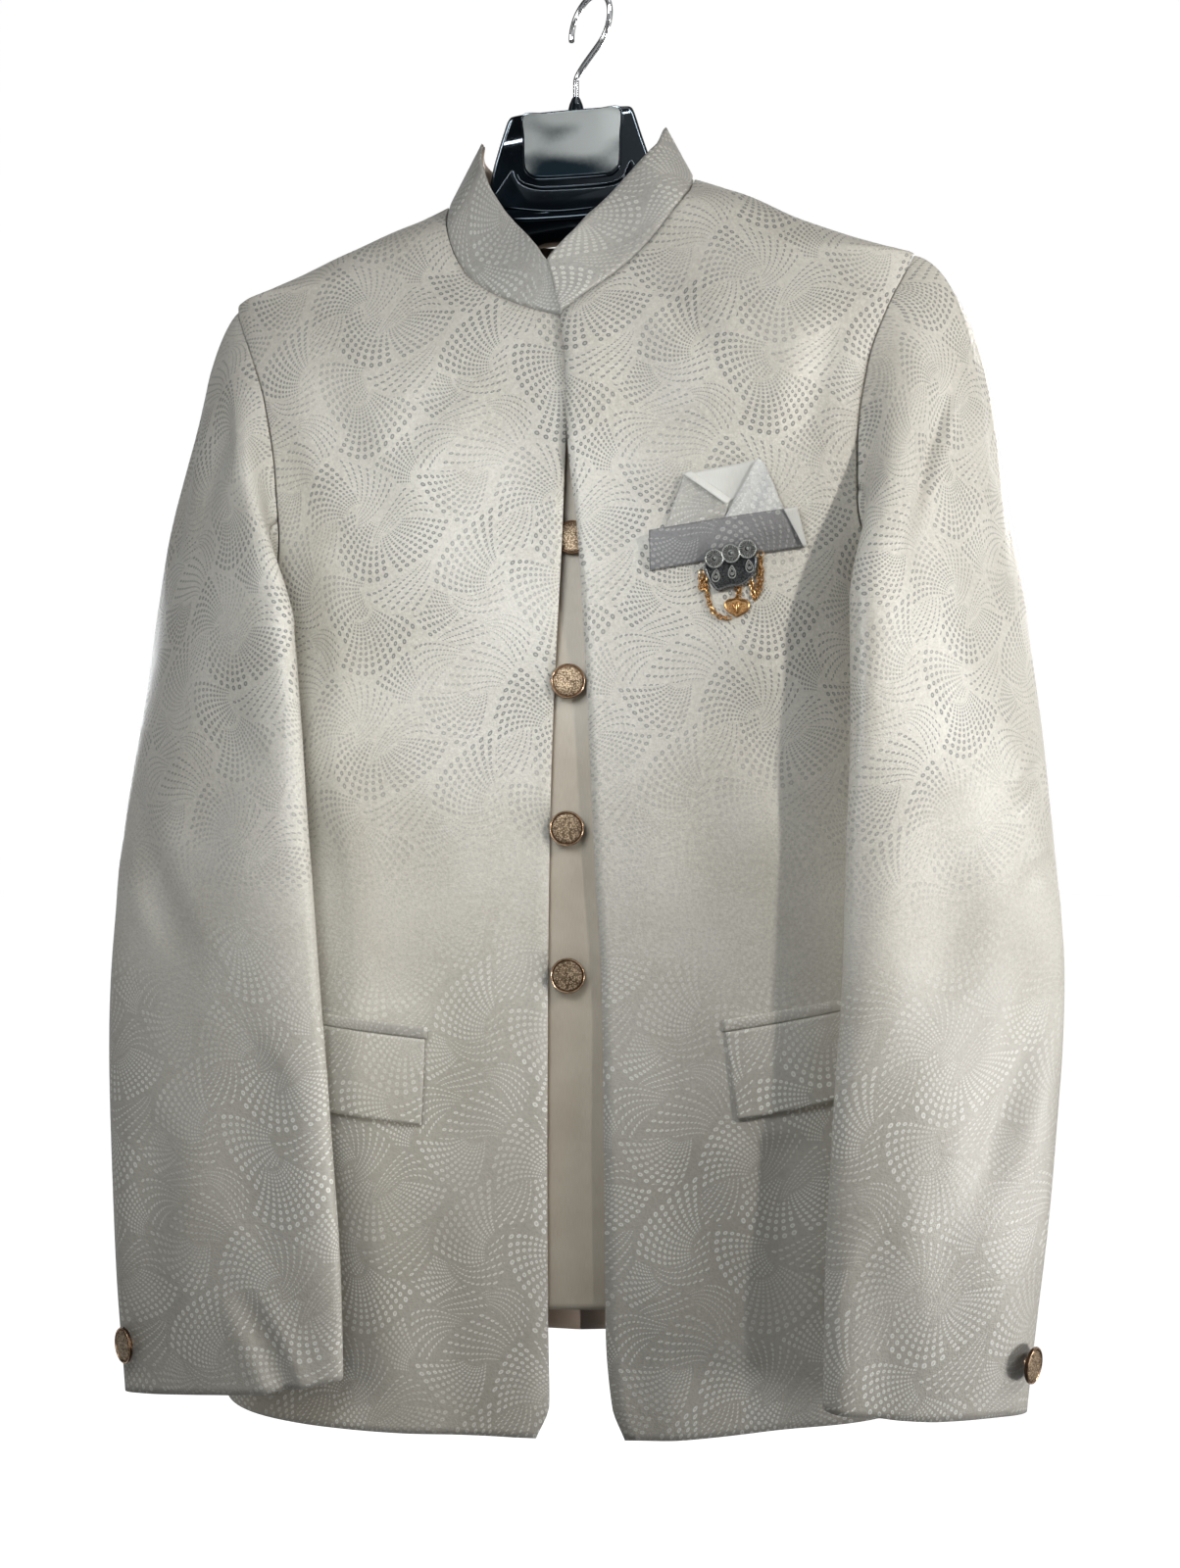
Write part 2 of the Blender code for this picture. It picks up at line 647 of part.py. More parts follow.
def build_buttons(brass, parts):
    for index, x in enumerate(BUTTON_X):
        z = FIRST_BUTTON_Z - BUTTON_SPACING * index
        shank = 0.0030 if index < 2 else float(BUTTON_STRIP.read("behind", z)) + 0.0006
        high, low = (float(strip_y(z + step)) for step in (BUTTON_SEAT, -BUTTON_SEAT))
        normal = unit(np.array([0.0, -1.0, (high - low) / (2 * BUTTON_SEAT)]))
        button = lathe(f"front_button_{index + 1}", button_profile(shank), 16, brass, parts)
        place(button, np.array([x, (high + low) / 2, z]) + normal * (SEAM_GAP + shank), normal)
    for name, side in SIDES.items():
        point, normal = sleeve_place(side, np.array(CUFF_BUTTON_TURN), np.array(CUFF_Z[side] + 0.028))
        facing = unit(normal + np.array([0.35 * side, 0.0, 0.0]))
        shank = 0.0030
        button = lathe(f"cuff_button_{name}", button_profile(shank), 16, brass, parts)
        place(button, point + normal * 0.0012 + facing * shank, facing)


# Brooch


def tube(name, points, width, finish, parts, smoothness=1):
    """A round wire through the points."""
    curve = bpy.data.curves.new(name, "CURVE")
    curve.dimensions = "3D"
    curve.bevel_depth = width / 2
    curve.bevel_resolution = smoothness
    curve.use_fill_caps = True
    spline = curve.splines.new("POLY")
    spline.points.add(len(points) - 1)
    for point, place_of in zip(spline.points, points):
        point.co = (*place_of, 1.0)
    curve.materials.append(finish)
    obj = bpy.data.objects.new(name, curve)
    parts.objects.link(obj)
    return obj


def over_front(x, z, out):
    """A point of the wearer's left front, moved out from the cloth."""
    points, normals = front_place(LEFT, x, z)
    return points + normals * np.asarray(out)[..., None]


def hanging_line(start, end, sag, count=9):
    """Points of a chain between two places (x and z) that hangs below them by sag."""
    t = np.linspace(0.0, 1.0, count)
    x = start[0] + (end[0] - start[0]) * t
    z = start[1] + (end[1] - start[1]) * t - sag * 4 * t * (1 - t)
    return x, z


BROOCH_OUT = 0.0049
BROOCH_BACK = 0.0020
CHAIN_WIRE = 0.0011
DISC_X = (0.0885, 0.0976, 0.1070)
DISC_Z = (-0.3645, -0.3625, -0.3600)
PENDANT = (0.1040, -0.4000)


def build_brooch(silver, brass, parts):
    bar = ((0.0855, -0.3810), (0.1130, -0.3745), (0.1152, -0.3610), (0.0842, -0.3670))
    grid = on_front(LEFT, bar, 6, 2, BROOCH_OUT)
    shell("brooch_bar", grid, silver, parts, BROOCH_BACK)
    for index, (x, z) in enumerate(zip(DISC_X, DISC_Z)):
        profile = ((0.0, 0.0022), (0.0016, 0.0022), (0.0020, 0.0014), (0.0040, 0.0016), (0.0047, 0.0010), (0.0047, 0.0), (0.0, 0.0))
        disc = lathe(f"brooch_disc_{index + 1}", profile, 18, silver, parts)
        point, normal = front_place(LEFT, np.array(x), np.array(z))
        place(disc, point + normal * (BROOCH_OUT + SEAM_GAP), normal)
    chains = {
        "left": ((0.0865, -0.3750), (PENDANT[0] - 0.0046, PENDANT[1] + 0.0058), 0.0070),
        "middle": ((0.1040, -0.3750), (PENDANT[0], PENDANT[1] + 0.0062), 0.0),
        "right": ((0.1128, -0.3700), (PENDANT[0] + 0.0042, PENDANT[1] + 0.0052), 0.0045),
    }
    start_out = BROOCH_OUT - BROOCH_BACK - SEAM_GAP - CHAIN_WIRE / 2
    for name, (start, end, sag) in chains.items():
        x, z = hanging_line(start, end, sag)
        line = over_front(x, z, np.linspace(start_out, 0.0012, len(x)))
        tube(f"brooch_chain_{name}", hang(line), CHAIN_WIRE, brass, parts)
    pendant = lathe("brooch_pendant", ((0.0, 0.0016), (0.0030, 0.0014), (0.0058, 0.0008), (0.0058, 0.0), (0.0, 0.0)), 14, brass, parts)
    point, normal = front_place(LEFT, np.array(PENDANT[0]), np.array(PENDANT[1]))
    place(pendant, point + normal * SEAM_GAP, normal)


# Hanger


ARM = Table(
    ("x", "top", "height", "depth"),
    (
        (0.000, -0.1180, 0.0360, 0.019),
        (0.046, -0.1220, 0.0320, 0.018),
        (0.080, -0.1310, 0.0260, 0.014),
        (0.120, -0.1440, 0.0250, 0.016),
        (0.145, -0.1526, 0.0250, 0.017),
        (0.172, -0.1632, 0.0250, 0.017),
        (0.188, -0.1702, 0.0250, 0.015),
        (0.198, -0.1765, 0.0190, 0.010),
    ),
)
KNOB_Z = -0.0697
KNOB_HEIGHT = 0.0090
NECK_OUTLINE = (
    (-0.0500, -0.1245), (-0.0470, -0.1050), (-0.0370, -0.0760), (-0.0150, -0.0703), (0.0000, KNOB_Z), (0.0060, KNOB_Z),
    (0.0350, -0.0722), (0.0410, -0.0745), (0.0500, -0.1050), (0.0550, -0.1245), (0.0500, -0.1400), (-0.0450, -0.1400),
)
NECK_DEPTH = 0.036
PLATE_OUTLINE = (
    (-0.0270, -0.0790), (0.0005, -0.0775), (0.0310, -0.0780), (0.0312, -0.1085), (0.0300, -0.1130), (0.0265, -0.1155),
    (0.0225, -0.1165), (-0.0190, -0.1165), (-0.0235, -0.1150), (-0.0262, -0.1110),
)


def arm_section(x, count):
    """A rounded section of the hanger's arm, flatter at its top than at its bottom."""
    reach = abs(x)
    top, height, depth = (float(ARM.read(name, reach)) for name in ("top", "height", "depth"))
    angle = 2 * math.pi * np.arange(count) / count
    y = depth * np.cos(angle)
    z = top - height / 2 + height / 2 * np.sin(angle)
    return np.stack((np.full(count, x), y, z), axis=-1)


def arms_object(finish, parts):
    reaches = (0.198, 0.188, 0.172, 0.145, 0.110, 0.080, 0.046)
    stations = [-x for x in reaches] + [0.0] + list(reversed(reaches))
    count = 16
    grid = np.array([arm_section(x, count) for x in stations])
    mesh = sheet_mesh("hanger_body", grid, closed=True)
    obj = add_object("hanger_body", mesh, finish, parts)
    work = bmesh.new()
    work.from_mesh(mesh)
    work.verts.ensure_lookup_table()
    last = len(work.verts) - count
    work.faces.new([work.verts[i] for i in range(count)])
    work.faces.new([work.verts[last + i] for i in range(count)])
    bmesh.ops.recalc_face_normals(work, faces=work.faces)
    work.to_mesh(mesh)
    work.free()
    mesh.shade_smooth()
    mesh.set_sharp_from_angle(angle=math.radians(40))
    return obj


def flat_outline(name, outline, thickness, finish, parts, soften):
    """A flat piece in the front plane, extruded from its outline, with its edges softened."""
    curve = bpy.data.curves.new(name, "CURVE")
    curve.dimensions = "2D"
    curve.fill_mode = "BOTH"
    curve.extrude = thickness / 2
    spline = curve.splines.new("POLY")
    spline.points.add(len(outline) - 1)
    for point, (x, z) in zip(spline.points, outline):
        point.co = (x, z, 0.0, 1.0)
    spline.use_cyclic_u = True
    flat = bpy.data.objects.new(name + "_outline", curve)
    parts.objects.link(flat)
    bpy.context.view_layer.update()
    evaluated = flat.evaluated_get(bpy.context.evaluated_depsgraph_get())
    mesh = bpy.data.meshes.new_from_object(evaluated)
    bpy.data.objects.remove(flat)
    work = bmesh.new()
    work.from_mesh(mesh)
    bmesh.ops.remove_doubles(work, verts=work.verts, dist=0.00001)
    bmesh.ops.dissolve_limit(work, angle_limit=0.01, verts=work.verts, edges=work.edges)
    bmesh.ops.recalc_face_normals(work, faces=work.faces)
    work.to_mesh(mesh)
    work.free()
    mesh.name = name
    mesh.materials.clear()
    obj = add_object(name, mesh, finish, parts)
    bevel = obj.modifiers.new("Softened edges", "BEVEL")
    bevel.width = soften
    bevel.segments = 3
    bevel.limit_method = "ANGLE"
    return obj


def upright(obj, depth_middle):
    """Stands a flat piece up facing the front, about the given depth, and hangs it with the garment."""
    stand = Matrix(((1, 0, 0, 0), (0, 0, -1, depth_middle), (0, 1, 0, 0), (0, 0, 0, 1)))
    obj.data.transform(HANG @ stand)


def apply_modifiers(obj):
    bpy.context.view_layer.update()
    evaluated = obj.evaluated_get(bpy.context.evaluated_depsgraph_get())
    mesh = bpy.data.meshes.new_from_object(evaluated)
    obj.modifiers.clear()
    obj.data = mesh


def hook_points():
    """The hook's wire: a straight stem, a bend away from it, and a round that comes over the top to its tip."""
    radius = 0.0175
    middle = math.hypot(STEM[0] + KNOB_X, STEM[1])
    centre_z = HOOK_WIRE / 2 - radius
    turn = math.atan2(STEM[1], -STEM[0] - KNOB_X)
    bottom = STEM[2] + KNOB_Z + KNOB_HEIGHT + 2 * SEAM_GAP
    stem = [(0.0, z) for z in np.linspace(bottom, -0.045, 4)]
    start, end = math.radians(-50), math.radians(185)
    arc = []
    for angle in np.linspace(start, end, 27):
        arc.append((middle + radius * math.cos(angle), centre_z + radius * math.sin(angle)))
    bend_from, bend_to = np.array(stem[-1]), np.array(arc[0])
    bend = []
    for t in np.linspace(0.0, 1.0, 8)[1:-1]:
        leave = np.array([0.0, 0.018])
        arrive = np.array([-math.sin(start), math.cos(start)]) * 0.018
        point = (
            bend_from * (1 + 2 * t) * (1 - t) ** 2
            + leave * t * (1 - t) ** 2
            + bend_to * t**2 * (3 - 2 * t)
            + arrive * t**2 * (t - 1)
        )
        bend.append(tuple(point))
    flat = stem + bend + arc
    away = middle * math.cos(turn), -middle * math.sin(turn)
    return [(h * math.cos(turn) - away[0], -h * math.sin(turn) - away[1], z) for h, z in flat]


def build_hanger(black, plate_finish, chrome, parts):
    arms = arms_object(black, parts)
    neck = flat_outline("hanger_neck", NECK_OUTLINE, NECK_DEPTH, black, parts, 0.0040)
    upright(neck, 0.0)
    join = arms.modifiers.new("Neck", "BOOLEAN")
    join.operation = "UNION"
    join.object = neck
    apply_modifiers(arms)
    bpy.data.objects.remove(neck)
    plate = flat_outline("hanger_plate", PLATE_OUTLINE, 0.0016, plate_finish, parts, 0.0006)
    upright(plate, -NECK_DEPTH / 2 - 0.0008 - SEAM_GAP)
    outline = ((0.0, 1.0), (0.0022, 1.0), (0.0030, 0.85), (0.0045, 0.6), (0.0052, 0.25), (0.0052, 0.0), (0.0, 0.0))
    knob = lathe("hanger_knob", [(radius, height * KNOB_HEIGHT) for radius, height in outline], 16, black, parts)
    knob.location = hang(np.array([KNOB_X, 0.0, KNOB_Z + SEAM_GAP])).tolist()
    tube("hanger_hook", hook_points(), HOOK_WIRE, chrome, parts, 2)


def main():
    clear_scene()
    parts = collection_named("jodhpuri_suit_jacket")
    cloth = material("ivory_jacquard", (0.68, 0.66, 0.58), 0.55)
    lining = material("beige_satin", (0.66, 0.52, 0.40), 0.40)
    plain = material("ivory_satin", (0.66, 0.66, 0.62), 0.38)
    brass = material("antique_rose_gold", (0.48, 0.27, 0.16), 0.35, 1.0)
    gold = material("bright_gold", (0.80, 0.48, 0.18), 0.28, 1.0)
    silver = material("oxidised_silver", (0.22, 0.25, 0.28), 0.38, 1.0)
    black = material("gloss_black", (0.006, 0.010, 0.014), 0.12)
    steel_blue = material("steel_blue_plate", (0.10, 0.16, 0.20), 0.15, 0.6)
    chrome = material("chrome", (0.80, 0.80, 0.80), 0.08, 1.0)
    for name, side in SIDES.items():
        shell(f"front_{name}", front_panel(side, 10), cloth, parts, flip=side == LEFT)
        shell(f"back_{name}", back_panel(side, 9), cloth, parts, flip=side == RIGHT)
    build_sleeves(cloth, parts)
    build_collar(cloth, lining, parts)
    build_pockets(cloth, parts)
    build_breast_pocket(cloth, plain, parts)
    build_strip(lining, parts)
    build_buttons(brass, parts)
    build_brooch(silver, gold, parts)
    build_hanger(black, steel_blue, chrome, parts)


main()
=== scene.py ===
import math

import bmesh
import bpy
import numpy as np
from mathutils import Matrix, Vector


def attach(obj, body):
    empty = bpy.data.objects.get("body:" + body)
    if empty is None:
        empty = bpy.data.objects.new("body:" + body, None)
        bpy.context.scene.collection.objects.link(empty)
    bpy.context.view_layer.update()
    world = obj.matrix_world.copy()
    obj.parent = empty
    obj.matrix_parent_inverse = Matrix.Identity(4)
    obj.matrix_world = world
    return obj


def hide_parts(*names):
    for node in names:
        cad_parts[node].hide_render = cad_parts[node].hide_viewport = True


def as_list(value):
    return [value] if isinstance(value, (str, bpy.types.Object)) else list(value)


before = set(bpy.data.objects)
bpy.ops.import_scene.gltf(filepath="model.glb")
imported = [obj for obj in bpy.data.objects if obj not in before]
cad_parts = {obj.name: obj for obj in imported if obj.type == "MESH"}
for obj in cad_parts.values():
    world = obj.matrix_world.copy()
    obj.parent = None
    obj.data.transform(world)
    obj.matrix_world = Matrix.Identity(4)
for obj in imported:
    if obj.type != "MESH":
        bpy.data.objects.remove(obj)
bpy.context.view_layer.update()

# Places are worked out about the stem of the hanger's hook, and hang() then puts them in the frame. Single numbers are
# in metres, and the tables and outlines are in millimetres.

RIGHT = -1
LEFT = 1
SIDES = {"right": RIGHT, "left": LEFT}

STEM = (-0.0129, 0.0088, 0.0021)
TILT = 0.03
NECK_TILT = 0.035
KNOB_X = 0.0030
NECK_Z = -0.120
NECK_FRONT_Z = -0.2185
SHOULDER_Z = {RIGHT: -0.1775, LEFT: -0.1752}
ARMPIT_Z = -0.376
HEM_Z = -0.861
BACK_NECK_Z = -0.132
SEAM_GAP = 0.0003
BACK_SEAM_GAP = 0.00012
OVERLAP = 0.0034
NECK_LIFT = 0.0020
HEM_LIFT = 0.006
CLOTH = 0.0016
LINING_CLOTH = 0.0009
SMALL_CLOTH = 0.0014
JET_CLOTH = 0.0011
SQUARE_CLOTH = 0.0007
THIN_CLOTH = 0.0006
BUTTON_WIDTH = 0.020
BUTTON_SPACING = 0.0833
FIRST_BUTTON_Z = -0.2655
BUTTON_SEAT = 0.0040
SHORT_SHANK = 0.0030
HOOK_WIRE = 0.0036


class Table:
    """Named columns in millimetres, or plain numbers where that is said, read smoothly along the first column."""

    def __init__(self, columns, plain, *rows):
        names = columns.split()
        data = np.array(sorted(rows), dtype=float)
        self.columns = {name: data[:, i] / (1 if name in plain.split() else 1000) for i, name in enumerate(names)}
        self.key = self.columns[names[0]]

    def read(self, name, place):
        """The column's value by a cubic through the rows, with no overshoot between them."""
        key, values = self.key, self.columns[name]
        step = np.diff(key)
        rising = np.diff(values) / step
        slope = np.concatenate(([rising[0]], np.zeros(len(key) - 2), [rising[-1]]))
        turning = rising[:-1] * rising[1:] > 0
        before, after = rising[:-1][turning], rising[1:][turning]
        slope[1:-1][turning] = 2 * before * after / (before + after)
        place = np.clip(place, key[0], key[-1])
        row = np.clip(np.searchsorted(key, place) - 1, 0, len(step) - 1)
        t = (place - key[row]) / step[row]
        return curve(values[row], slope[row] * step[row], values[row + 1], slope[row + 1] * step[row], t)


def curve(start, leave, end, arrive, t):
    """A cubic from start to end that leaves and arrives in the given directions."""
    first = start * (1 + 2 * t) * (1 - t) ** 2 + leave * t * (1 - t) ** 2
    return first + end * t**2 * (3 - 2 * t) + arrive * t**2 * (t - 1)


def millimetres(*rows):
    """Rows of millimetres, as metres."""
    return np.array(rows, dtype=float) / 1000


# Level rings of the body: half its width, its depth before and behind the shoulder line, and how square it is.
BODY = Table(
    "z half_width front back squareness",
    "squareness",
    (-120, 78, 12, 36, 2.1), (-130, 100, 22, 43, 2.1), (-138, 120, 29, 46, 2.2), (-147.5, 140, 36, 49, 2.2),
    (-156, 160, 38, 50, 2.3), (-164, 180, 39, 51, 2.3), (-171.5, 200, 40, 52, 2.4), (-177.5, 216, 41, 52, 2.4),
    (-222, 216, 57, 54, 2.4), (-300, 207, 68, 57, 2.3), (-380, 190, 71, 57, 2.15), (-480, 192, 72, 53, 2.2),
    (-580, 198, 72, 51, 2.4), (-700, 208, 73, 54, 2.6), (-870, 216, 74, 58, 3.0),
)

# How far each front's neckline and centre edge lies from the middle, down to the hem.
EDGES = Table(
    "z right left",
    "",
    (-120, -78, 78), (-137, -75.5, 75), (-160, -70, 61.5), (-181, -60, 44), (-197, -43.5, 27), (-205, -31, 16),
    (-211, -19, 8.5), (-215.5, -7, 3), (-218.5, 3, 0.5), (-229, 4.5, 1), (-240, 5.5, 2.9), (-265, 6.2, 4.2),
    (-290, 4.4, 5.3), (-350, 2.3, 11.5), (-424, -1.4, 16.1), (-485, -3.7, 18.9), (-546, -4.9, 21.7),
    (-601, -5.5, 25), (-712, -5.8, 26.7), (-800, -5.2, 27.6), (-842, -4.5, 31.2), (-861, -12, 38.5),
)

# Half the width across the chest and across the back at each height of the armholes.
ARMHOLE_COLUMNS = "z front back"
ARMHOLES = {
    RIGHT: Table(
        ARMHOLE_COLUMNS,
        "",
        (-177.5, 216, 216), (-190, 210.5, 211), (-215, 198.5, 204), (-250, 185.5, 196), (-297, 177.5, 189),
        (-330, 176.5, 186), (-355, 181, 185), (-376, 192, 192),
    ),
    LEFT: Table(
        ARMHOLE_COLUMNS,
        "",
        (-175.2, 210, 210), (-190, 203, 206), (-215, 190.5, 199), (-250, 178, 192), (-297, 171.5, 187),
        (-330, 172, 185), (-355, 179, 185), (-376, 192, 192),
    ),
}

# Rings of each sleeve: how far out and forward its middle hangs, half its flat size, and its turn from facing front.
SLEEVE_COLUMNS = "z out forward half_length half_thick turn slant"
SLEEVES = {
    RIGHT: Table(
        SLEEVE_COLUMNS,
        "turn",
        (-395, 222.5, 20, 87, 20, 41, 0), (-480, 220, 34, 83, 20, 31, 0), (-580, 212.5, 52, 78.5, 19, 21, 0),
        (-680, 202.4, 67, 74.5, 16, 12, 1), (-760, 193.6, 76, 71.5, 14, 8, 4.5),
        (-829.5, 187.4, 81, 68, 12, 6, 8),
    ),
    LEFT: Table(
        SLEEVE_COLUMNS,
        "turn",
        (-395, 225, 20, 86, 21, 46, 0), (-480, 227.5, 33, 83, 21, 40, 0), (-580, 226.8, 49, 79, 19, 31, 0),
        (-680, 219, 62, 73.5, 16, 25, 1.5), (-760, 211.8, 69, 69.5, 14, 23, 7),
        (-840.5, 205.7, 72, 64.5, 12, 23, 12.5),
    ),
}
SLEEVE_TOP_Z = -0.395
CUFF_Z = {RIGHT: -0.8295, LEFT: -0.8405}
CROWN = math.radians(60)
UNDERARM = math.radians(270)
FRONT_SEAM = math.radians(198)
BACK_SEAM = math.radians(-12)
CUFF_BUTTON_TURN = math.radians(36)
CUFF_BUTTON_RISE = 0.028
CUFF_BUTTON_SEAT = 0.0012
CUFF_BUTTON_FACING = 0.35

# How the sleeve leaves the shoulder's end: how strongly, and its way out and down.
CAP_PULL = 0.70
CROWN_PULL = {RIGHT: 0.50, LEFT: 0.60}
CROWN_WAY = {RIGHT: (0.66, 0.62), LEFT: (0.97, 0.25)}

# The strip under the front edges: its side edges, and how far it lies behind the fronts.
STRIP_TOP_Z = -0.236
STRIP_HEM_Z = -0.790
BUTTON_STRIP = Table(
    "z right left behind",
    "",
    (-236, -22, 30, 10.5), (-360, -24, 34, 10), (-425, -25, 37, 6), (-600, -27, 42, 4.6), (-790, -27, 43, 4.6),
)
BUTTON_X = (0.0040, 0.0078, 0.0064, 0.0056, 0.0062)

POCKETS = {
    RIGHT: {"inner": -0.0770, "outer": -0.1780, "inner_z": -0.6345, "outer_z": -0.6245, "slant": -0.0015},
    LEFT: {"inner": 0.0950, "outer": 0.1780, "inner_z": -0.6325, "outer_z": -0.6225, "slant": 0.0065},
}
JET_HEIGHT = 0.0068
FLAP_HEIGHT = 0.0490
BROOCH_OUT = 0.0049


def ease(value, start, end):
    """Rises smoothly from 0 at start to 1 at end."""
    t = np.clip((value - start) / (end - start), 0.0, 1.0)
    return t * t * (3 - 2 * t)


def unit(vectors):
    return vectors / np.maximum(np.linalg.norm(vectors, axis=-1, keepdims=True), 1e-12)


def hang(points):
    """Moves points from the stem's own frame to the part's: under the hook, with the shoulders a little tilted."""
    moved = np.array(points, dtype=float)
    moved[..., 2] += TILT * moved[..., 0]
    return moved + np.array(STEM)


HANG = Matrix(((1, 0, 0, STEM[0]), (0, 1, 0, STEM[1]), (TILT, 0, 1, STEM[2]), (0, 0, 0, 1)))


# Body


def rise(x, height):
    """How far the cloth hangs above its level ring: the neck tilts more, and the hem is up at the wearer's left."""
    neck = (NECK_TILT * x + NECK_LIFT) * ease(np.abs(x), 0.150, 0.085) * ease(height, -0.240, -0.170)
    hem = HEM_LIFT * ease(x, 0.050, 0.160) * ease(height, -0.700, -0.860)
    return neck + hem


def body_point(angle, height):
    """A point on the cloth's outside. The angle is 0 at the centre front, a quarter turn at each side seam."""
    sine, cosine = np.sin(angle), np.cos(angle)
    power = 2.0 / BODY.read("squareness", height)
    depth = np.where(cosine > 0, BODY.read("front", height), BODY.read("back", height))
    x = BODY.read("half_width", height) * np.sign(sine) * np.abs(sine) ** power
    y = -depth * np.sign(cosine) * np.abs(cosine) ** power
    return np.stack(np.broadcast_arrays(x, y, height + rise(x, height)), axis=-1)


def angle_at(x, height):
    """The angle on the body's front half at which it is x from the middle."""
    share = np.clip(np.abs(x) / BODY.read("half_width", height), 0.0, 1.0)
    return np.sign(x) * np.arcsin(share ** (BODY.read("squareness", height) / 2))


def side_limit(side, height, depth):
    """Where a panel ends at the side: the shoulder seam, then the armhole, then the side seam, all a gap short."""
    share = SEAM_GAP / 2 / BODY.read(depth, height)
    seam = np.arccos(share ** (BODY.read("squareness", height) / 2))
    armhole = angle_at(ARMHOLES[side].read(depth, height), height)
    inside = (height < SHOULDER_Z[side]) & (height > ARMPIT_Z)
    return np.where(inside, np.minimum(armhole, seam), seam)


def body_normal(angle, height, step=1e-4):
    around = body_point(angle + step, height) - body_point(angle - step, height)
    up = body_point(angle, height + step) - body_point(angle, height - step)
    return unit(np.cross(around, up))


def lapped(points, side):
    """The wearer's left front lies over the right one at the top, so it is lifted there."""
    if side == LEFT:
        near = ease(points[..., 0], 0.050, 0.012) * ease(points[..., 2], -0.340, -0.300)
        points[..., 1] -= OVERLAP * near
    return points


def front_place(side, x, z):
    """A point on the front cloth x from the middle, and the cloth's outward direction there."""
    angle = angle_at(np.asarray(x, dtype=float), np.asarray(z, dtype=float))
    return lapped(body_point(angle, z), side), body_normal(angle, z)


def back_neck_x(height):
    """Half the back neckline's width: a shallow arc from the neck points down to the centre back."""
    fall = np.clip((height - BACK_NECK_Z) / (NECK_Z - BACK_NECK_Z), 0.0, 1.0)
    return BODY.read("half_width", NECK_Z) * (1 - (1 - fall) ** 2.2) ** 0.6


# Shaping

FOLD_SCALE = 2.1
CALM_EDGE = 0.030
CALM_SLEEVE_EDGE = 0.020


def normals_of(points):
    """The direction out of a grid of points, on the side from which its rows rise and its columns run right."""
    return unit(np.cross(np.gradient(points, axis=1), np.gradient(points, axis=0)))


def fold(places, start, end, width, depth, ends=0.25):
    """A soft trough (or a ridge where depth is below 0) along a line of the cloth, with a low roll on both sides."""
    line = end - start
    length = np.linalg.norm(line)
    along = ((places - start) @ line) / length**2
    away = np.linalg.norm(places - start - np.clip(along, 0.0, 1.0)[..., None] * line, axis=-1) / width
    inside = ease(along, -ends, ends) * ease(along, 1 + ends, 1 - ends)
    trough = np.exp(-(away**2)) - 0.45 * np.exp(-((away - 1.9) ** 2) / 0.8)
    return -depth * trough * inside


def folds(places, lines):
    """The sum of some folds, each a row of its start and end (x and z), its width and its depth."""
    return sum(fold(places, line[:2], line[2:4], *line[4:]) for line in lines)


def swell(places, waves):
    """The slow unevenness of hanging cloth: a sum of long waves (size, length across, length up, turn)."""
    total = np.zeros(places.shape[:-1])
    for size, across, up, turn in waves:
        total += size * np.sin(2 * math.pi * (places[..., 0] / across + places[..., 1] / up) + turn)
    return total


def calm(places, centre, half_size, reach=0.012):
    """1 away from a box of the cloth and 0 inside it, where other pieces lie flat."""
    away = np.abs(places - np.array(centre)) - np.array(half_size)
    return np.maximum(ease(away[..., 0], 0.0, reach), ease(away[..., 1], 0.0, reach))


def seam_dip(distance, depth=0.0005, reach=0.0020):
    """Cloth turns in at its seams."""
    return -depth * np.exp(-((distance / reach) ** 2))


def row_steps(points, axis):
    return np.linalg.norm(np.diff(points, axis=axis), axis=-1)


def lengths_across(points):
    """How far each point of a grid is along its own row."""
    return np.concatenate((np.zeros((len(points), 1)), np.cumsum(row_steps(points, 1), axis=1)), axis=1)


def cloth_size(points):
    """The cut of a grid of points: its width, its length and its area."""
    a = points[1:, 1:] - points[:-1, :-1]
    b = points[1:, :-1] - points[:-1, 1:]
    area = np.linalg.norm(np.cross(a, b), axis=-1).sum() / 2
    return float(lengths_across(points)[:, -1].max()), float(row_steps(points, 0).sum(axis=0).max()), float(area)


def linked(name, data):
    """A new object in the scene."""
    obj = bpy.data.objects.new(name, data)
    bpy.context.scene.collection.objects.link(obj)
    return obj


def finished(name, work, finishes, sharp=math.radians(38)):
    """The piece from a bmesh that is done, with its finishes."""
    mesh = bpy.data.meshes.new(name)
    work.to_mesh(mesh)
    work.free()
    mesh.shade_smooth()
    if sharp:
        mesh.set_sharp_from_angle(angle=sharp)
    for finish in finishes:
        mesh.materials.append(finish)
    return linked(name, mesh)


def panel(name, points, grain, finishes, thickness, flip=False, moved=None):
    """Cloth from a grid of points, with its weave's own map in metres. Solidify gives the wall behind it."""
    rows, columns = points.shape[:2]
    work = bmesh.new()
    bmesh.ops.create_grid(work, x_segments=columns - 1, y_segments=rows - 1, size=1.0)
    if flip:
        bmesh.ops.reverse_faces(work, faces=work.faces)
    if moved is not None:
        points = points + normals_of(points) * (-1 if flip else 1) * moved[..., None]
    obj = finished(name, work, finishes, sharp=None)
    mesh = obj.data
    mesh.vertices.foreach_set("co", hang(points).reshape(-1))
    weave = mesh.uv_layers.new(name="Weave")
    corners = np.empty(len(mesh.loops), dtype=np.int32)
    mesh.loops.foreach_get("vertex_index", corners)
    weave.data.foreach_set("uv", grain.reshape(-1, 2)[corners].reshape(-1))
    mesh.update()
    wall = obj.modifiers.new("Cloth wall", "SOLIDIFY")
    wall.thickness = thickness
    wall.offset = -1.0
    if len(finishes) > 1:
        wall.material_offset = 1
    return obj


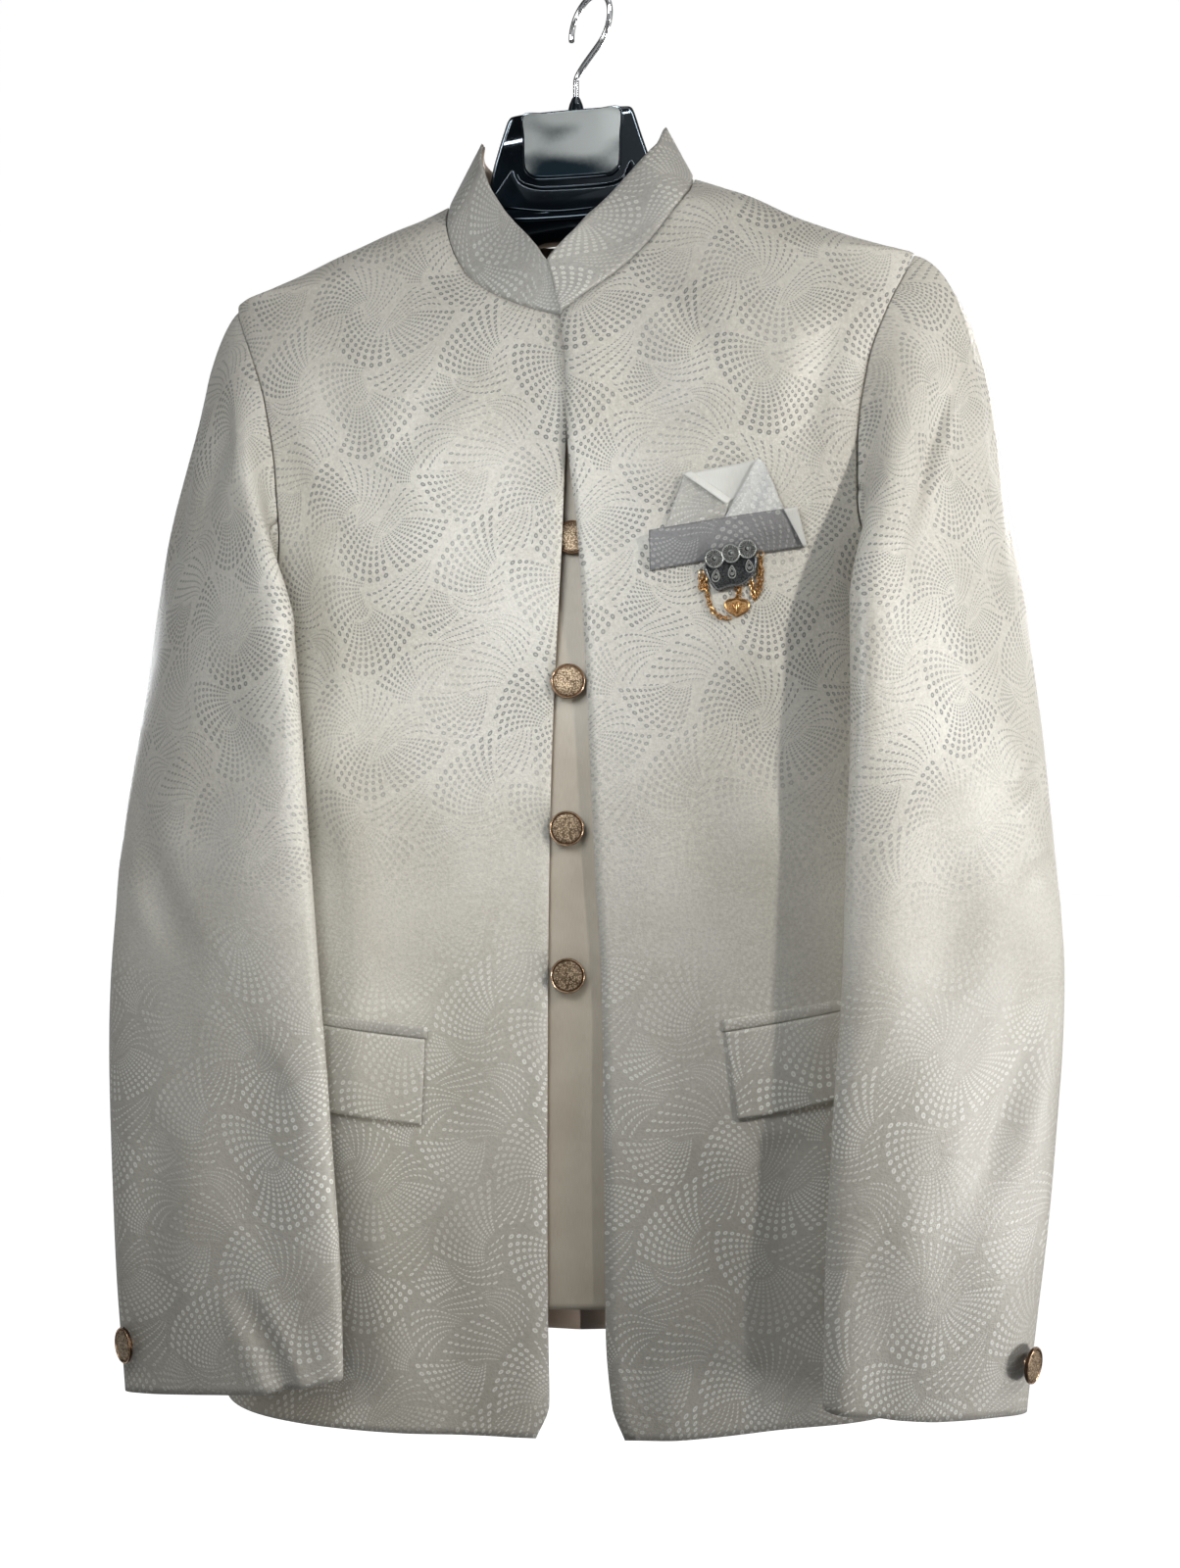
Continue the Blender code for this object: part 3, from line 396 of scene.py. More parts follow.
def declare(obj, nodes, flat=None, rests_on=(), with_pieces=()):
    """Puts the piece in the frame, for its CAD nodes."""
    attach(obj, "root")
    if nodes:
        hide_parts(*nodes)
    if flat is not None:
        width, length, area = flat
        area = min(area, width * length)
        rests_on, with_pieces = list(rests_on), list(with_pieces)
        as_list(rests_on)
        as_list(with_pieces)


def sew(node, rests_on, points, grain, finishes, thickness=CLOTH, flip=False, moved=None):
    """A piece of cloth in the frame, for the CAD node it is named after."""
    obj = panel(f"{node}_cloth", points, grain, finishes, thickness, flip, moved)
    declare(obj, [node], cloth_size(points), rests_on)


# Finishes


class Reading:
    """A value in a material: sums and products of these add the Math nodes."""

    def __init__(self, finish, socket):
        self.finish = finish
        self.socket = socket

    def maths(self, operation, *others):
        return self.finish.maths(operation, self, *others)

    def __add__(self, other):
        return self.maths("ADD", other)

    def __sub__(self, other):
        return self.maths("SUBTRACT", other)

    def __rsub__(self, other):
        return self.finish.maths("SUBTRACT", other, self)

    def __mul__(self, other):
        return self.maths("MULTIPLY", other)

    def __truediv__(self, other):
        return self.maths("DIVIDE", other)

    def __rtruediv__(self, other):
        return self.finish.maths("DIVIDE", other, self)

    def __lt__(self, other):
        return self.maths("LESS_THAN", other)

    def __gt__(self, other):
        return self.maths("GREATER_THAN", other)

    __radd__ = __add__
    __rmul__ = __mul__

    def between(self, low, high):
        """Rises smoothly from 0 at low to 1 at high."""
        settings = {"interpolation_type": "SMOOTHSTEP"}
        return self.finish.node("ShaderNodeMapRange", settings, {0: self, 1: low, 2: high})


class Finish:
    """A material, built up node by node."""

    def __init__(self, name):
        self.material = bpy.data.materials.new(name)
        self.material.use_nodes = True
        self.tree = self.material.node_tree
        self.tree.nodes.clear()

    def node(self, kind, settings=None, values=None, output=0):
        made = self.tree.nodes.new(kind)
        for key, value in (settings or {}).items():
            setattr(made, key, value)
        for key, value in (values or {}).items():
            if isinstance(value, Reading):
                self.tree.links.new(value.socket, made.inputs[key])
            else:
                made.inputs[key].default_value = value
        return Reading(self, made.outputs[output]) if made.outputs else None

    def maths(self, operation, *values):
        return self.node("ShaderNodeMath", {"operation": operation}, dict(enumerate(values)))

    def mix(self, share, first, second):
        """A colour between two colours."""
        values = {0: share, 6: self.colour(first), 7: self.colour(second)}
        return self.node("ShaderNodeMix", {"data_type": "RGBA"}, values, 2)

    def colour(self, value):
        return value if isinstance(value, Reading) else (*value, 1.0)

    def mix_vector(self, share, first, second):
        return self.node("ShaderNodeMix", {"data_type": "VECTOR"}, {0: share, 4: first, 5: second}, 1)

    def weave_place(self):
        return self.node("ShaderNodeUVMap", {"uv_map": "Weave"})

    def place(self):
        return self.node("ShaderNodeTexCoord", None, None, 3)

    def scaled(self, place, scale, shift=(0.0, 0.0, 0.0)):
        return self.node("ShaderNodeMapping", None, {0: place, 1: shift, 3: scale})

    def noise(self, place, scale, detail=2.0, roughness=0.5):
        values = {"Vector": place, "Scale": scale, "Detail": detail, "Roughness": roughness}
        return self.node("ShaderNodeTexNoise", {"noise_dimensions": "3D"}, values)

    def parts(self, place):
        made = self.node("ShaderNodeSeparateXYZ", None, {0: place})
        return tuple(Reading(self, socket) for socket in made.socket.node.outputs)

    def bump(self, height, strength, distance, **under):
        values = {"Height": height, "Strength": strength, "Distance": distance, **under}
        return self.node("ShaderNodeBump", None, values)

    def surface(self, **values):
        named = {key.replace("_", " "): value for key, value in values.items()}
        for key in ("Base Color", "Emission Color", "Specular Tint"):
            if key in named:
                named[key] = self.colour(named[key])
        shader = self.node("ShaderNodeBsdfPrincipled", None, named)
        self.node("ShaderNodeOutputMaterial", None, {0: shader})
        return self.material


# The jacquard's repeat in metres, the steps between its rays and rows in fans and in sprays, and its fans in the order
# they lie over each other: where each starts and how far it reaches in millimetres, the way it opens in degrees, its
# rays, their sweep, and whether it is a fan (0) or a spray (1).
REPEAT = (0.120, 0.128)
RAY_STEP = (0.118, 0.160)
ROW_STEP = (0.104, 0.078)
ROWS_IN = -1.19
BORDER = 0.045
BORDER_IN = 0.16
BEND = 0.0030
FANS = (
    # x, y, way, rays, reach, sweep, kind
    (118, 93, 36, 5, 38, 0.7, 1), (21, 92, 191, 6, 38, -0.8, 1), (21, 110, 338, 6, 34, 0.7, 1),
    (113, 70, 139, 9, 40, 0.3, 0), (87, 65, 238, 12, 48, -0.2, 0), (87, 32, 53, 5, 36, 0.8, 1),
    (40, 65, 138, 7, 44, -0.7, 1), (7, 21, 342, 6, 42, -0.75, 1), (20, 8, 200, 9, 38, 0.2, 0),
    (88, 13, 207, 11, 44, -0.25, 0), (22, 89, 236, 10, 42, 0.3, 0), (38, 64, 262, 7, 40, 0.8, 1),
    (58, 54, 63, 8, 36, -0.6, 1), (69, 9, 289, 12, 46, 0.22, 0), (113, 37, 238, 6, 44, 0.75, 1),
    (87, 55, 321, 10, 40, -0.35, 0), (72, 53, 160, 10, 43, -0.3, 0), (45, 12, 144, 11, 45, 0.25, 0),
)


def fan_dots(finish, place):
    """The jacquard's dots: whether the place lies in a fan, and how far it is from the middle of a dot."""
    x, y, _ = finish.parts(place)
    bent_x = x + BEND * (y * (2 * math.pi / REPEAT[1]) + 1.0).maths("SINE")
    bent_y = y + BEND * (x * (4 * math.pi / REPEAT[0])).maths("SINE")
    bent = finish.node("ShaderNodeCombineXYZ", None, {0: bent_x, 1: bent_y})
    chosen = None
    for start_x, start_y, direction, rays, reach, sweep, kind in FANS:
        start = (start_x / 1000, start_y / 1000, 0.0)
        low = tuple(start[i] - REPEAT[i] / 2 for i in range(2)) + (-1.0,)
        high = tuple(start[i] + REPEAT[i] / 2 for i in range(2)) + (1.0,)
        near = finish.node("ShaderNodeVectorMath", {"operation": "WRAP"}, {0: bent, 1: high, 2: low})
        turned = {0: near, 1: start, 2: (0.0, 0.0, math.radians(direction)), 3: (reach / 1000, reach / 1000, 1.0)}
        ahead, aside, _ = finish.parts(finish.node("ShaderNodeMapping", {"vector_type": "TEXTURE"}, turned))
        rows = (ahead * ahead + aside * aside).maths("LOGARITHM", math.e) * 0.5
        swept = aside.maths("ARCTAN2", ahead) + sweep * rows
        spread = rays * RAY_STEP[kind] / 2
        side = swept.maths("ABSOLUTE")
        inside = (rows < BORDER) * (rows > ROWS_IN - BORDER_IN) * (side < spread + BORDER)
        half_ray = (rays % 2) * RAY_STEP[kind] / 2
        values = {0: swept + half_ray, 1: rows, 2: (side < spread) * (1.0 + kind)}
        piece = finish.node("ShaderNodeCombineXYZ", None, values)
        chosen = piece if chosen is None else finish.mix_vector(inside, chosen, piece)
    swept, rows, kind = finish.parts(chosen)
    spray = kind > 1.5
    ray_step, row_step = (step[0] + spray * (step[1] - step[0]) for step in (RAY_STEP, ROW_STEP))
    across, along = (
        ((value / step).maths("FRACT") - 0.5) * step for value, step in ((swept, ray_step), (rows, row_step))
    )
    away = (across * across + along * along).maths("SQRT") / row_step
    return (kind > 0.5) * (rows < 0.0) * (rows > ROWS_IN), away


# A dot's edge and the hole in its middle, as shares of the way to the next row, and the heights between which the dots
# turn from painted dark, standing for the sheen on the satin high up, to painted light lower down, where the ground is
# painted darker as shade; then the colours of the painted dark and light dots.
DOT_EDGE = (0.36, 0.26)
DOT_MIDDLE = (0.19, 0.08)
PAINTED_SHEEN_Z = (-0.60, -0.42)
PAINTED_SHADE_Z = (-0.52, -0.68)
PAINTED_SHEEN_DARK_DOT = (0.200, 0.200, 0.188)
PAINTED_LIGHT_DOT = (0.98, 0.98, 0.93)


def ivory_jacquard(name, shades, painted_sheen_dots=None, painted_light_dots=None):
    """Satin ground between two shades with ringed dots, with sheen and shade painted into its colour.

    The dots are painted dark high up, standing for the sheen on the satin around them, and painted light lower down,
    where the ground is painted darker as shade; or they are painted everywhere by the given shares where the cloth is
    turned another way to the light, as on the collar."""
    finish = Finish(name)
    place = finish.weave_place()
    kept, away = fan_dots(finish, place)
    dot = kept * away.between(*DOT_EDGE)
    middle = kept * away.between(*DOT_MIDDLE)
    ring = (dot - middle * 0.55) * (finish.noise(place, 17.0, 1.0).between(0.30, 0.60) * 0.50 + 0.50)
    _, _, height = finish.parts(finish.place())
    drifted = height + (finish.noise(place, 9.0, 1.0) - 0.5) * 0.16
    # Painted sheen share high up (dark dots) and painted shade share lower down (light dots, darker ground), or the
    # given shares.
    high = drifted.between(*PAINTED_SHEEN_Z) if painted_sheen_dots is None else painted_sheen_dots
    low = drifted.between(*PAINTED_SHADE_Z) if painted_light_dots is None else painted_light_dots
    cloudy = finish.noise(place, 19.0, 3.0).between(0.25, 0.75)
    slub = finish.noise(place, 330.0, 2.0, 0.6)
    crepe = finish.noise(place, 640.0, 2.0, 0.6)
    warp = finish.noise(finish.scaled(place, (2400.0, 420.0, 1.0)), 1.0, 1.0)
    weft = finish.noise(finish.scaled(place, (500.0, 2600.0, 1.0)), 1.0, 1.0)
    yarn = warp * 0.5 + weft * 0.5
    ground = finish.mix(cloudy, *shades)
    # A lighter and a darker tone for the yarn and crepe flecks; the darker one is also the painted shade lower down.
    lit = tuple(min(0.93, 1.18 * part) for part in shades[1])
    worn = tuple(0.62 * part for part in shades[0])
    ground = finish.mix((yarn * 0.5 + slub * 0.5).between(0.44, 0.60) * 0.50, ground, lit)
    ground = finish.mix(crepe.between(0.50, 0.66) * 0.30, ground, worn)
    # Painted shade: lower down, the ground is darkened towards its darker tone.
    if painted_light_dots is None:
        ground = finish.mix(low * 0.40, ground, worn)
    # The dots' painted sheen and light: dark high up, light lower down.
    dark = finish.mix(ring * high * 0.95, ground, PAINTED_SHEEN_DARK_DOT)
    colour = finish.mix(ring * low * 0.96, dark, PAINTED_LIGHT_DOT)
    roughness = 0.42 + ring * 0.16 + (yarn - 0.5) * 0.24
    relief = finish.bump(yarn, 0.35, 0.0004)
    relief = finish.bump(crepe * 0.5 + slub * 0.5, 0.55, 0.0010, Normal=relief)
    sheen = {"Sheen_Weight": 0.25, "Sheen_Roughness": 0.4, "Specular_IOR_Level": 0.8}
    return finish.surface(Base_Color=colour, Roughness=roughness, Normal=relief, **sheen)


def plain_satin(name, first, second, sheen=0.3):
    """Plain satin, with a fine warp and a faint unevenness."""
    finish = Finish(name)
    place = finish.weave_place()
    warp = finish.noise(finish.scaled(place, (3200.0, 160.0, 1.0)), 1.0, 2.0)
    cloudy = finish.noise(place, 30.0, 3.0)
    colour = finish.mix((warp * 0.4 + cloudy * 0.6).between(0.3, 0.7), first, second)
    roughness = 0.34 + warp * 0.18
    relief = finish.bump(warp, 0.25, 0.0002)
    soft = {"Sheen_Weight": sheen, "Sheen_Roughness": 0.4}
    return finish.surface(Base_Color=colour, Roughness=roughness, Normal=relief, **soft)


def cast_metal(name, bright, dull, scale, roughness):
    """Cast metal with a fine pebbled relief, dark in its hollows."""
    finish = Finish(name)
    place = finish.place()
    cells = {"Vector": place, "Scale": scale, "Randomness": 0.75}
    pebbles = finish.node("ShaderNodeTexVoronoi", {"feature": "F1"}, cells)
    grain = finish.noise(place, scale * 0.35, 3.0)
    ring = pebbles.between(0.10, 0.24) * pebbles.between(0.52, 0.36)
    raised = ring * 0.75 + grain.between(0.40, 0.62) * 0.25
    colour = finish.mix(raised, dull, bright)
    relief = finish.bump(raised, 0.7, 0.0003)
    worn = roughness + (1 - raised) * 0.25
    return finish.surface(Base_Color=colour, Metallic=0.75, Roughness=worn, Normal=relief)


def plain_metal(name, bright, dull, scale, roughness, metallic=0.85):
    """Polished or plated metal with a little unevenness and wear."""
    finish = Finish(name)
    place = finish.place()
    cloudy = finish.noise(place, scale, 4.0, 0.6)
    scratches = finish.noise(finish.scaled(place, (1.0, 1.0, 0.15)), scale * 14, 2.0)
    colour = finish.mix(cloudy.between(0.35, 0.7), bright, dull)
    relief = finish.bump(scratches, 0.05, 0.0003)
    return finish.surface(Base_Color=colour, Metallic=metallic, Roughness=roughness + cloudy * 0.10, Normal=relief)


def gloss_black():
    """Moulded plastic with a soft waviness and a little dust."""
    finish = Finish("hanger_gloss_black")
    place = finish.place()
    waves = finish.noise(place, 26.0, 2.0)
    dust = finish.noise(place, 900.0, 2.0)
    colour = finish.mix(waves.between(0.45, 0.75), (0.0015, 0.0030, 0.0050), (0.004, 0.009, 0.014))
    relief = finish.bump(waves, 0.12, 0.002)
    roughness = 0.07 + dust.between(0.55, 0.8) * 0.10
    gloss = {"Coat_Weight": 0.15, "Specular_Tint": (0.66, 0.84, 1.0)}
    return finish.surface(Base_Color=colour, Roughness=roughness, Normal=relief, **gloss)


def steel_blue():
    """Foiled plate, its cloudy bright patches and lighter top painted into the colour as reflection and highlight."""
    finish = Finish("hanger_plate_painted_reflections")
    place = finish.place()
    _, _, height = finish.parts(place)
    bands = finish.noise(finish.scaled(place, (30.0, 30.0, 58.0), (0.35, 0.0, 0.2)), 1.0, 0.6, 0.4)
    speckle = finish.noise(place, 420.0, 4.0, 0.7)
    # Painted reflection and highlight: the cloudy bands brighten the colour in patches, and the top is lighter.
    upper = height.between(-0.120, -0.085)
    bright = (bands * 0.8 + (speckle - 0.5) * 0.05 + upper * 0.30).between(0.40, 0.70)
    colour = finish.mix(bright, (0.016, 0.034, 0.050), (0.74, 0.80, 0.80))
    relief = finish.bump(bands, 0.10, 0.002)
    return finish.surface(Base_Color=colour, Metallic=0.35, Roughness=0.16 + speckle * 0.10, Normal=relief)


# The collar and welt copies have darker shades, painted shade for cloth turned away from the light; they and the
# square's copy have their dots painted dark or light by fixed shares.
JACQUARD = ivory_jacquard("ivory_jacquard_weave_painted_light", ((0.590, 0.564, 0.498), (0.705, 0.683, 0.622)))
COLLAR_PAINTED_SHADE_JACQUARD = ivory_jacquard("ivory_jacquard_collar_painted_shade", ((0.37, 0.36, 0.33), (0.49, 0.48, 0.445)), 0.10, 0.62)
WELT_PAINTED_SHADE_JACQUARD = ivory_jacquard("ivory_jacquard_welt_painted_shade", ((0.165, 0.165, 0.172), (0.225, 0.225, 0.232)), 0.20, 0.26)
SQUARE_PAINTED_LIGHT_DOT_JACQUARD = ivory_jacquard("ivory_jacquard_square_painted_light_dots", ((0.53, 0.535, 0.525), (0.67, 0.68, 0.665)), 0.05, 0.80)
LINING = plain_satin("beige_satin_lining", (0.50, 0.37, 0.27), (0.62, 0.50, 0.40))
STRIP = plain_satin("strip_satin", (0.52, 0.46, 0.37), (0.63, 0.575, 0.48))
PLAIN = plain_satin("ivory_satin", (0.70, 0.70, 0.66), (0.80, 0.80, 0.77), 0.4)
BUTTON_FACE = cast_metal("button_pebbled_gold", (0.66, 0.51, 0.35), (0.13, 0.088, 0.052), 980.0, 0.30)
BUTTON_RIM = plain_metal("button_rim", (0.70, 0.50, 0.34), (0.44, 0.28, 0.17), 300.0, 0.18)
BUTTON_GROOVE = plain_metal("button_dark_groove", (0.10, 0.055, 0.030), (0.035, 0.018, 0.010), 300.0, 0.30)
GOLD = plain_metal("chain_gold", (0.74, 0.45, 0.20), (0.40, 0.21, 0.08), 400.0, 0.20)
SILVER = plain_metal("brooch_silver", (0.66, 0.67, 0.64), (0.30, 0.315, 0.31), 900.0, 0.28, 0.5)
# A darker silver on the brooch bar's sides, rim and beads and on the discs' edges.
EDGE_SILVER = plain_metal("brooch_dark_edge", (0.24, 0.25, 0.25), (0.09, 0.095, 0.10), 900.0, 0.30, 0.6)
BLACKENED = cast_metal("brooch_blackened_ground", (0.115, 0.12, 0.125), (0.012, 0.013, 0.015), 1500.0, 0.40)
BLACK = gloss_black()
PLATE = steel_blue()
CHROME = plain_metal("hook_chrome", (0.88, 0.89, 0.90), (0.62, 0.64, 0.67), 90.0, 0.05)
BOTH_FACES = (JACQUARD, LINING)


# Where the weave's repeat starts on each front and sleeve.
FRONT_WEAVE = {RIGHT: 0.07, LEFT: 0.313}
SLEEVE_WEAVE = {RIGHT: 0.63, LEFT: 0.21}

# Fronts and back

BODY_WAVES = {
    RIGHT: ((0.0011, 0.21, 0.9, 0.4), (0.0007, 0.12, -0.5, 2.0), (0.0005, 0.4, 0.19, 1.1)),
    LEFT: ((0.0011, -0.19, 0.8, 1.9), (0.0007, 0.11, 0.6, 0.3), (0.0005, -0.5, 0.17, 2.7)),
}

# Where pockets lie on the fronts: the middle and half the size of each area (x and z).
BREAST_AREA = ((0.096, -0.353), (0.046, 0.049))
POCKET_AREAS = {
    side: ((side * 0.135, pocket["inner_z"] - FLAP_HEIGHT / 2 + 0.003), (0.070, FLAP_HEIGHT / 2 + 0.010))
    for side, pocket in POCKETS.items()
}

# The fronts' and backs' own creases by side: start and end on the cloth (x and z), width and depth.
FRONT_FOLDS = {
    RIGHT: millimetres(
        (-145, -250, -100, -330, 13, 1.2), (-170, -300, -150, -420, 11, 1), (-60, -250, -100, -300, 10, 0.7),
        (-160, -500, -110, -600, 20, 1.2), (-60, -520, -30, -700, 18, -0.8), (-150, -700, -120, -840, 16, 1.3),
        (-70, -740, -60, -850, 13, 0.9), (-185, -452, -40, -505, 30, -1.6), (-120, -205, -70, -222, 12, 0.8),
    ),
    LEFT: millimetres(
        (52, -195, 88, -240, 9, 1), (30, -240, 70, -290, 14, 0.8), (160, -230, 140, -300, 12, 1),
        (100, -440, 150, -520, 18, 1.1), (40, -430, 60, -560, 20, -0.8), (60, -690, 100, -800, 17, 1.2),
        (130, -660, 125, -840, 15, 1.2), (30, -770, 45, -860, 12, 0.8),
    ),
}
BACK_FOLDS = {
    RIGHT: millimetres(
        (-130, -200, -90, -270, 14, 1.3), (-160, -330, -110, -450, 18, 1.4), (-60, -460, -130, -520, 17, 1.1),
        (-50, -560, -70, -760, 20, -1), (-130, -640, -110, -840, 17, 1.4),
    ),
    LEFT: millimetres(
        (120, -190, 80, -250, 13, 1.2), (165, -350, 120, -430, 16, 1.3), (40, -430, 110, -500, 18, 1.2),
        (60, -600, 40, -800, 19, -1), (140, -620, 120, -850, 18, 1.5),
    ),
}


def row_heights(top, bottom, fine, coarse, change):
    """Heights from top to bottom, close together down to the change and further apart under it."""
    upper = np.linspace(top, change, int(round((top - change) / fine)) + 1)
    lower = np.linspace(change, bottom, int(round((change - bottom) / coarse)) + 1)
    return np.concatenate((upper, lower[1:]))[:, None]


def between_edges(start, end, columns):
    return start + (end - start) * np.linspace(0.0, 1.0, columns)[None, :]


def hung_shape(points, waves, creases, waves_from):
    """The body's waves and creases, calm at the panel's edges, and how far each point is from those edges."""
    places = points[..., [0, 2]]
    run = lengths_across(points)
    to_side = run[:, -1:] - run
    moved = swell(places, waves) * waves_from + FOLD_SCALE * folds(places, creases)
    return moved * ease(run, 0.0, CALM_EDGE) * ease(to_side, 0.0, CALM_EDGE), run, to_side


FRONT_COLUMNS = 61
BACK_COLUMNS = 57


def build_front(name, side):
    heights = row_heights(NECK_Z - 0.002, HEM_Z, 0.0018, 0.0042, -0.240)
    start = angle_at(EDGES.read(name, heights), heights)
    end = side * side_limit(side, heights, "front")
    points = lapped(body_point(between_edges(start, end, FRONT_COLUMNS), heights), side)
    places = points[..., [0, 2]]
    moved, run, to_side = hung_shape(points, BODY_WAVES[side], FRONT_FOLDS[side], ease(heights, -0.20, -0.32))
    moved = moved * calm(places, *POCKET_AREAS[side])
    if side == LEFT:
        moved = moved * calm(places, *BREAST_AREA)
    moved = moved + seam_dip(to_side, 0.0003, 0.0012)
    across_grain = side * run + points[:, :1, 0] + FRONT_WEAVE[side]
    grain = np.stack((across_grain, np.broadcast_to(heights, run.shape)), axis=-1)
    sew(f"front_{name}", ["hanger_body"], points, grain, BOTH_FACES, CLOTH, side == LEFT, moved)


def build_back(name, side):
    heights = row_heights(NECK_Z - 0.001, HEM_Z, 0.0020, 0.0045, -0.200)
    edge = np.maximum(back_neck_x(heights), -BACK_SEAM_GAP)
    start = math.pi - angle_at(edge, heights)
    end = math.pi - side_limit(side, heights, "back")
    points = body_point(side * between_edges(start, end, BACK_COLUMNS), heights)
    moved, run, to_side = hung_shape(points, BODY_WAVES[-side], BACK_FOLDS[side], ease(heights, -0.18, -0.30))
    centre = seam_dip(run) * ease(heights, BACK_NECK_Z, BACK_NECK_Z - 0.01)
    moved = moved + seam_dip(to_side) + centre
    grain = np.stack((side * run + 0.55, np.broadcast_to(heights, run.shape) + 0.04), axis=-1)
    sew(f"back_{name}", ["hanger_body"], points, grain, BOTH_FACES, CLOTH, side == RIGHT, moved)


# Sleeves


def sleeve_ring(side, turn_about, height):
    """A point of the sleeve's section: 0 is its back fold, half a turn its front fold, and a quarter its outer face."""
    rings = SLEEVES[side]
    turn = np.radians(rings.read("turn", height))
    sine, cosine = np.sin(turn_about), np.cos(turn_about)
    long = rings.read("half_length", height) * np.sign(cosine) * np.abs(cosine) ** 0.9
    thick = rings.read("half_thick", height) * np.sign(sine) * np.abs(sine) ** 0.9
    out = rings.read("out", height) + long * np.cos(turn) + thick * np.sin(turn)
    y = -rings.read("forward", height) + long * np.sin(turn) - thick * np.cos(turn)
    z = height - rings.read("slant", height) * cosine
    return np.stack(np.broadcast_arrays(side * out, y, z), axis=-1)


def armhole_edge(side, depth, height):
    """The panel's edge at the armhole, which runs from the shoulder's end down to the armpit."""
    heights = np.linspace(SHOULDER_Z[side], ARMPIT_Z, 80)
    limit = side_limit(side, heights, depth)
    points = body_point(side * (limit if depth == "front" else math.pi - limit), heights)
    return np.stack([np.interp(-height, -heights, points[:, axis]) for axis in range(3)], axis=-1)


def armhole_point(side, turn_about):
    """The point of the armhole that the sleeve's line at this turn is sewn to."""
    to_front = (turn_about >= CROWN) & (turn_about <= UNDERARM)
    front_share = (turn_about - CROWN) / (UNDERARM - CROWN)
    back_share = (CROWN - turn_about) % (2 * math.pi) / (CROWN + 2 * math.pi - UNDERARM)
    share = np.clip(np.where(to_front, front_share, back_share), 0.0, 1.0)
    height = SHOULDER_Z[side] + (ARMPIT_Z - SHOULDER_Z[side]) * (1 - np.cos(math.pi * share)) / 2
    return np.where(to_front[..., None], armhole_edge(side, "front", height), armhole_edge(side, "back", height))


def leaving(side, turn_about):
    """The way the sleeve leaves the armhole: over the crown outwards, at the front forwards, at the back rearwards."""
    crown = np.clip(np.cos(turn_about - CROWN), 0.0, 1.0)
    front = np.clip(-np.cos(turn_about), 0.0, 1.0) * (1 - crown)
    back = np.clip(np.cos(turn_about), 0.0, 1.0) * (1 - crown)
    under = 1 - crown - front - back
    crown_out, crown_down = CROWN_WAY[side]
    out = crown_out * crown + 0.60 * front + 0.50 * back + 0.60 * under
    down = crown_down * crown + 0.55 * (front + back) + 0.80 * under
    return unit(np.stack((side * out, 0.50 * back - 0.42 * front, -down), axis=-1)), crown[..., None]


def sleeve_cap(side, turn_about, along):
    """From the armhole to the first ring: a curve that leaves the shoulder and arrives hanging down."""
    end = sleeve_ring(side, turn_about, np.full_like(turn_about, SLEEVE_TOP_Z))
    leave, crown = leaving(side, turn_about)
    start = armhole_point(side, turn_about) + leave * SEAM_GAP
    reach = np.linalg.norm(end - start, axis=-1, keepdims=True)
    pull = CAP_PULL + (CROWN_PULL[side] - CAP_PULL) * crown
    arrive = np.array([0.05 * side, -0.12, -1.0])
    return curve(start, leave * reach * pull, end, arrive * reach * 0.9, along)


SLEEVE_WAVES = {
    RIGHT: ((0.0010, 0.16, 0.35, 0.2), (0.0007, -0.10, 0.23, 1.4), (0.0004, 0.07, -0.15, 2.2)),
    LEFT: ((0.0010, -0.15, 0.33, 1.2), (0.0007, 0.11, 0.25, 0.1), (0.0004, -0.06, 0.14, 0.8)),
}

# The sleeves' creases by side and piece: start and end (from the piece's middle line and down from its head).
SLEEVE_FOLDS = {
    (RIGHT, "upper"): millimetres(
        (35, -45, 0, -120, 12, 1.4), (-30, -60, -40, -170, 12, 1.1), (55, -230, 10, -330, 16, 1.4),
        (-60, -330, -10, -400, 14, 1.2), (50, -430, 20, -540, 15, 1.3), (-30, -520, -45, -620, 12, 1),
        (20, -590, 52, -640, 9, 1.2),
    ),
    (LEFT, "upper"): millimetres(
        (52, -135, 10, -75, 8, 1.6), (30, -60, 48, -190, 12, 1), (-70, -330, -30, -345, 6, 1.4),
        (-75, -385, -40, -395, 5, 1.4), (40, -300, 10, -420, 17, 1.3), (-50, -460, -15, -560, 15, 1.1),
        (55, -520, 30, -630, 12, 1.2),
    ),
    (RIGHT, "under"): millimetres(
        (-30, -120, 10, -220, 12, 1.3), (20, -300, -20, -400, 14, 1.2), (-10, -480, 20, -580, 12, 1),
    ),
    (LEFT, "under"): millimetres(
        (30, -130, -10, -210, 12, 1.3), (-20, -320, 20, -410, 14, 1.2), (15, -470, -20, -570, 12, 1.1),
    ),
}
SLEEVE_SEAM_GAP = 0.003
CAP_ROWS = 45
SLEEVE_ROWS = 105


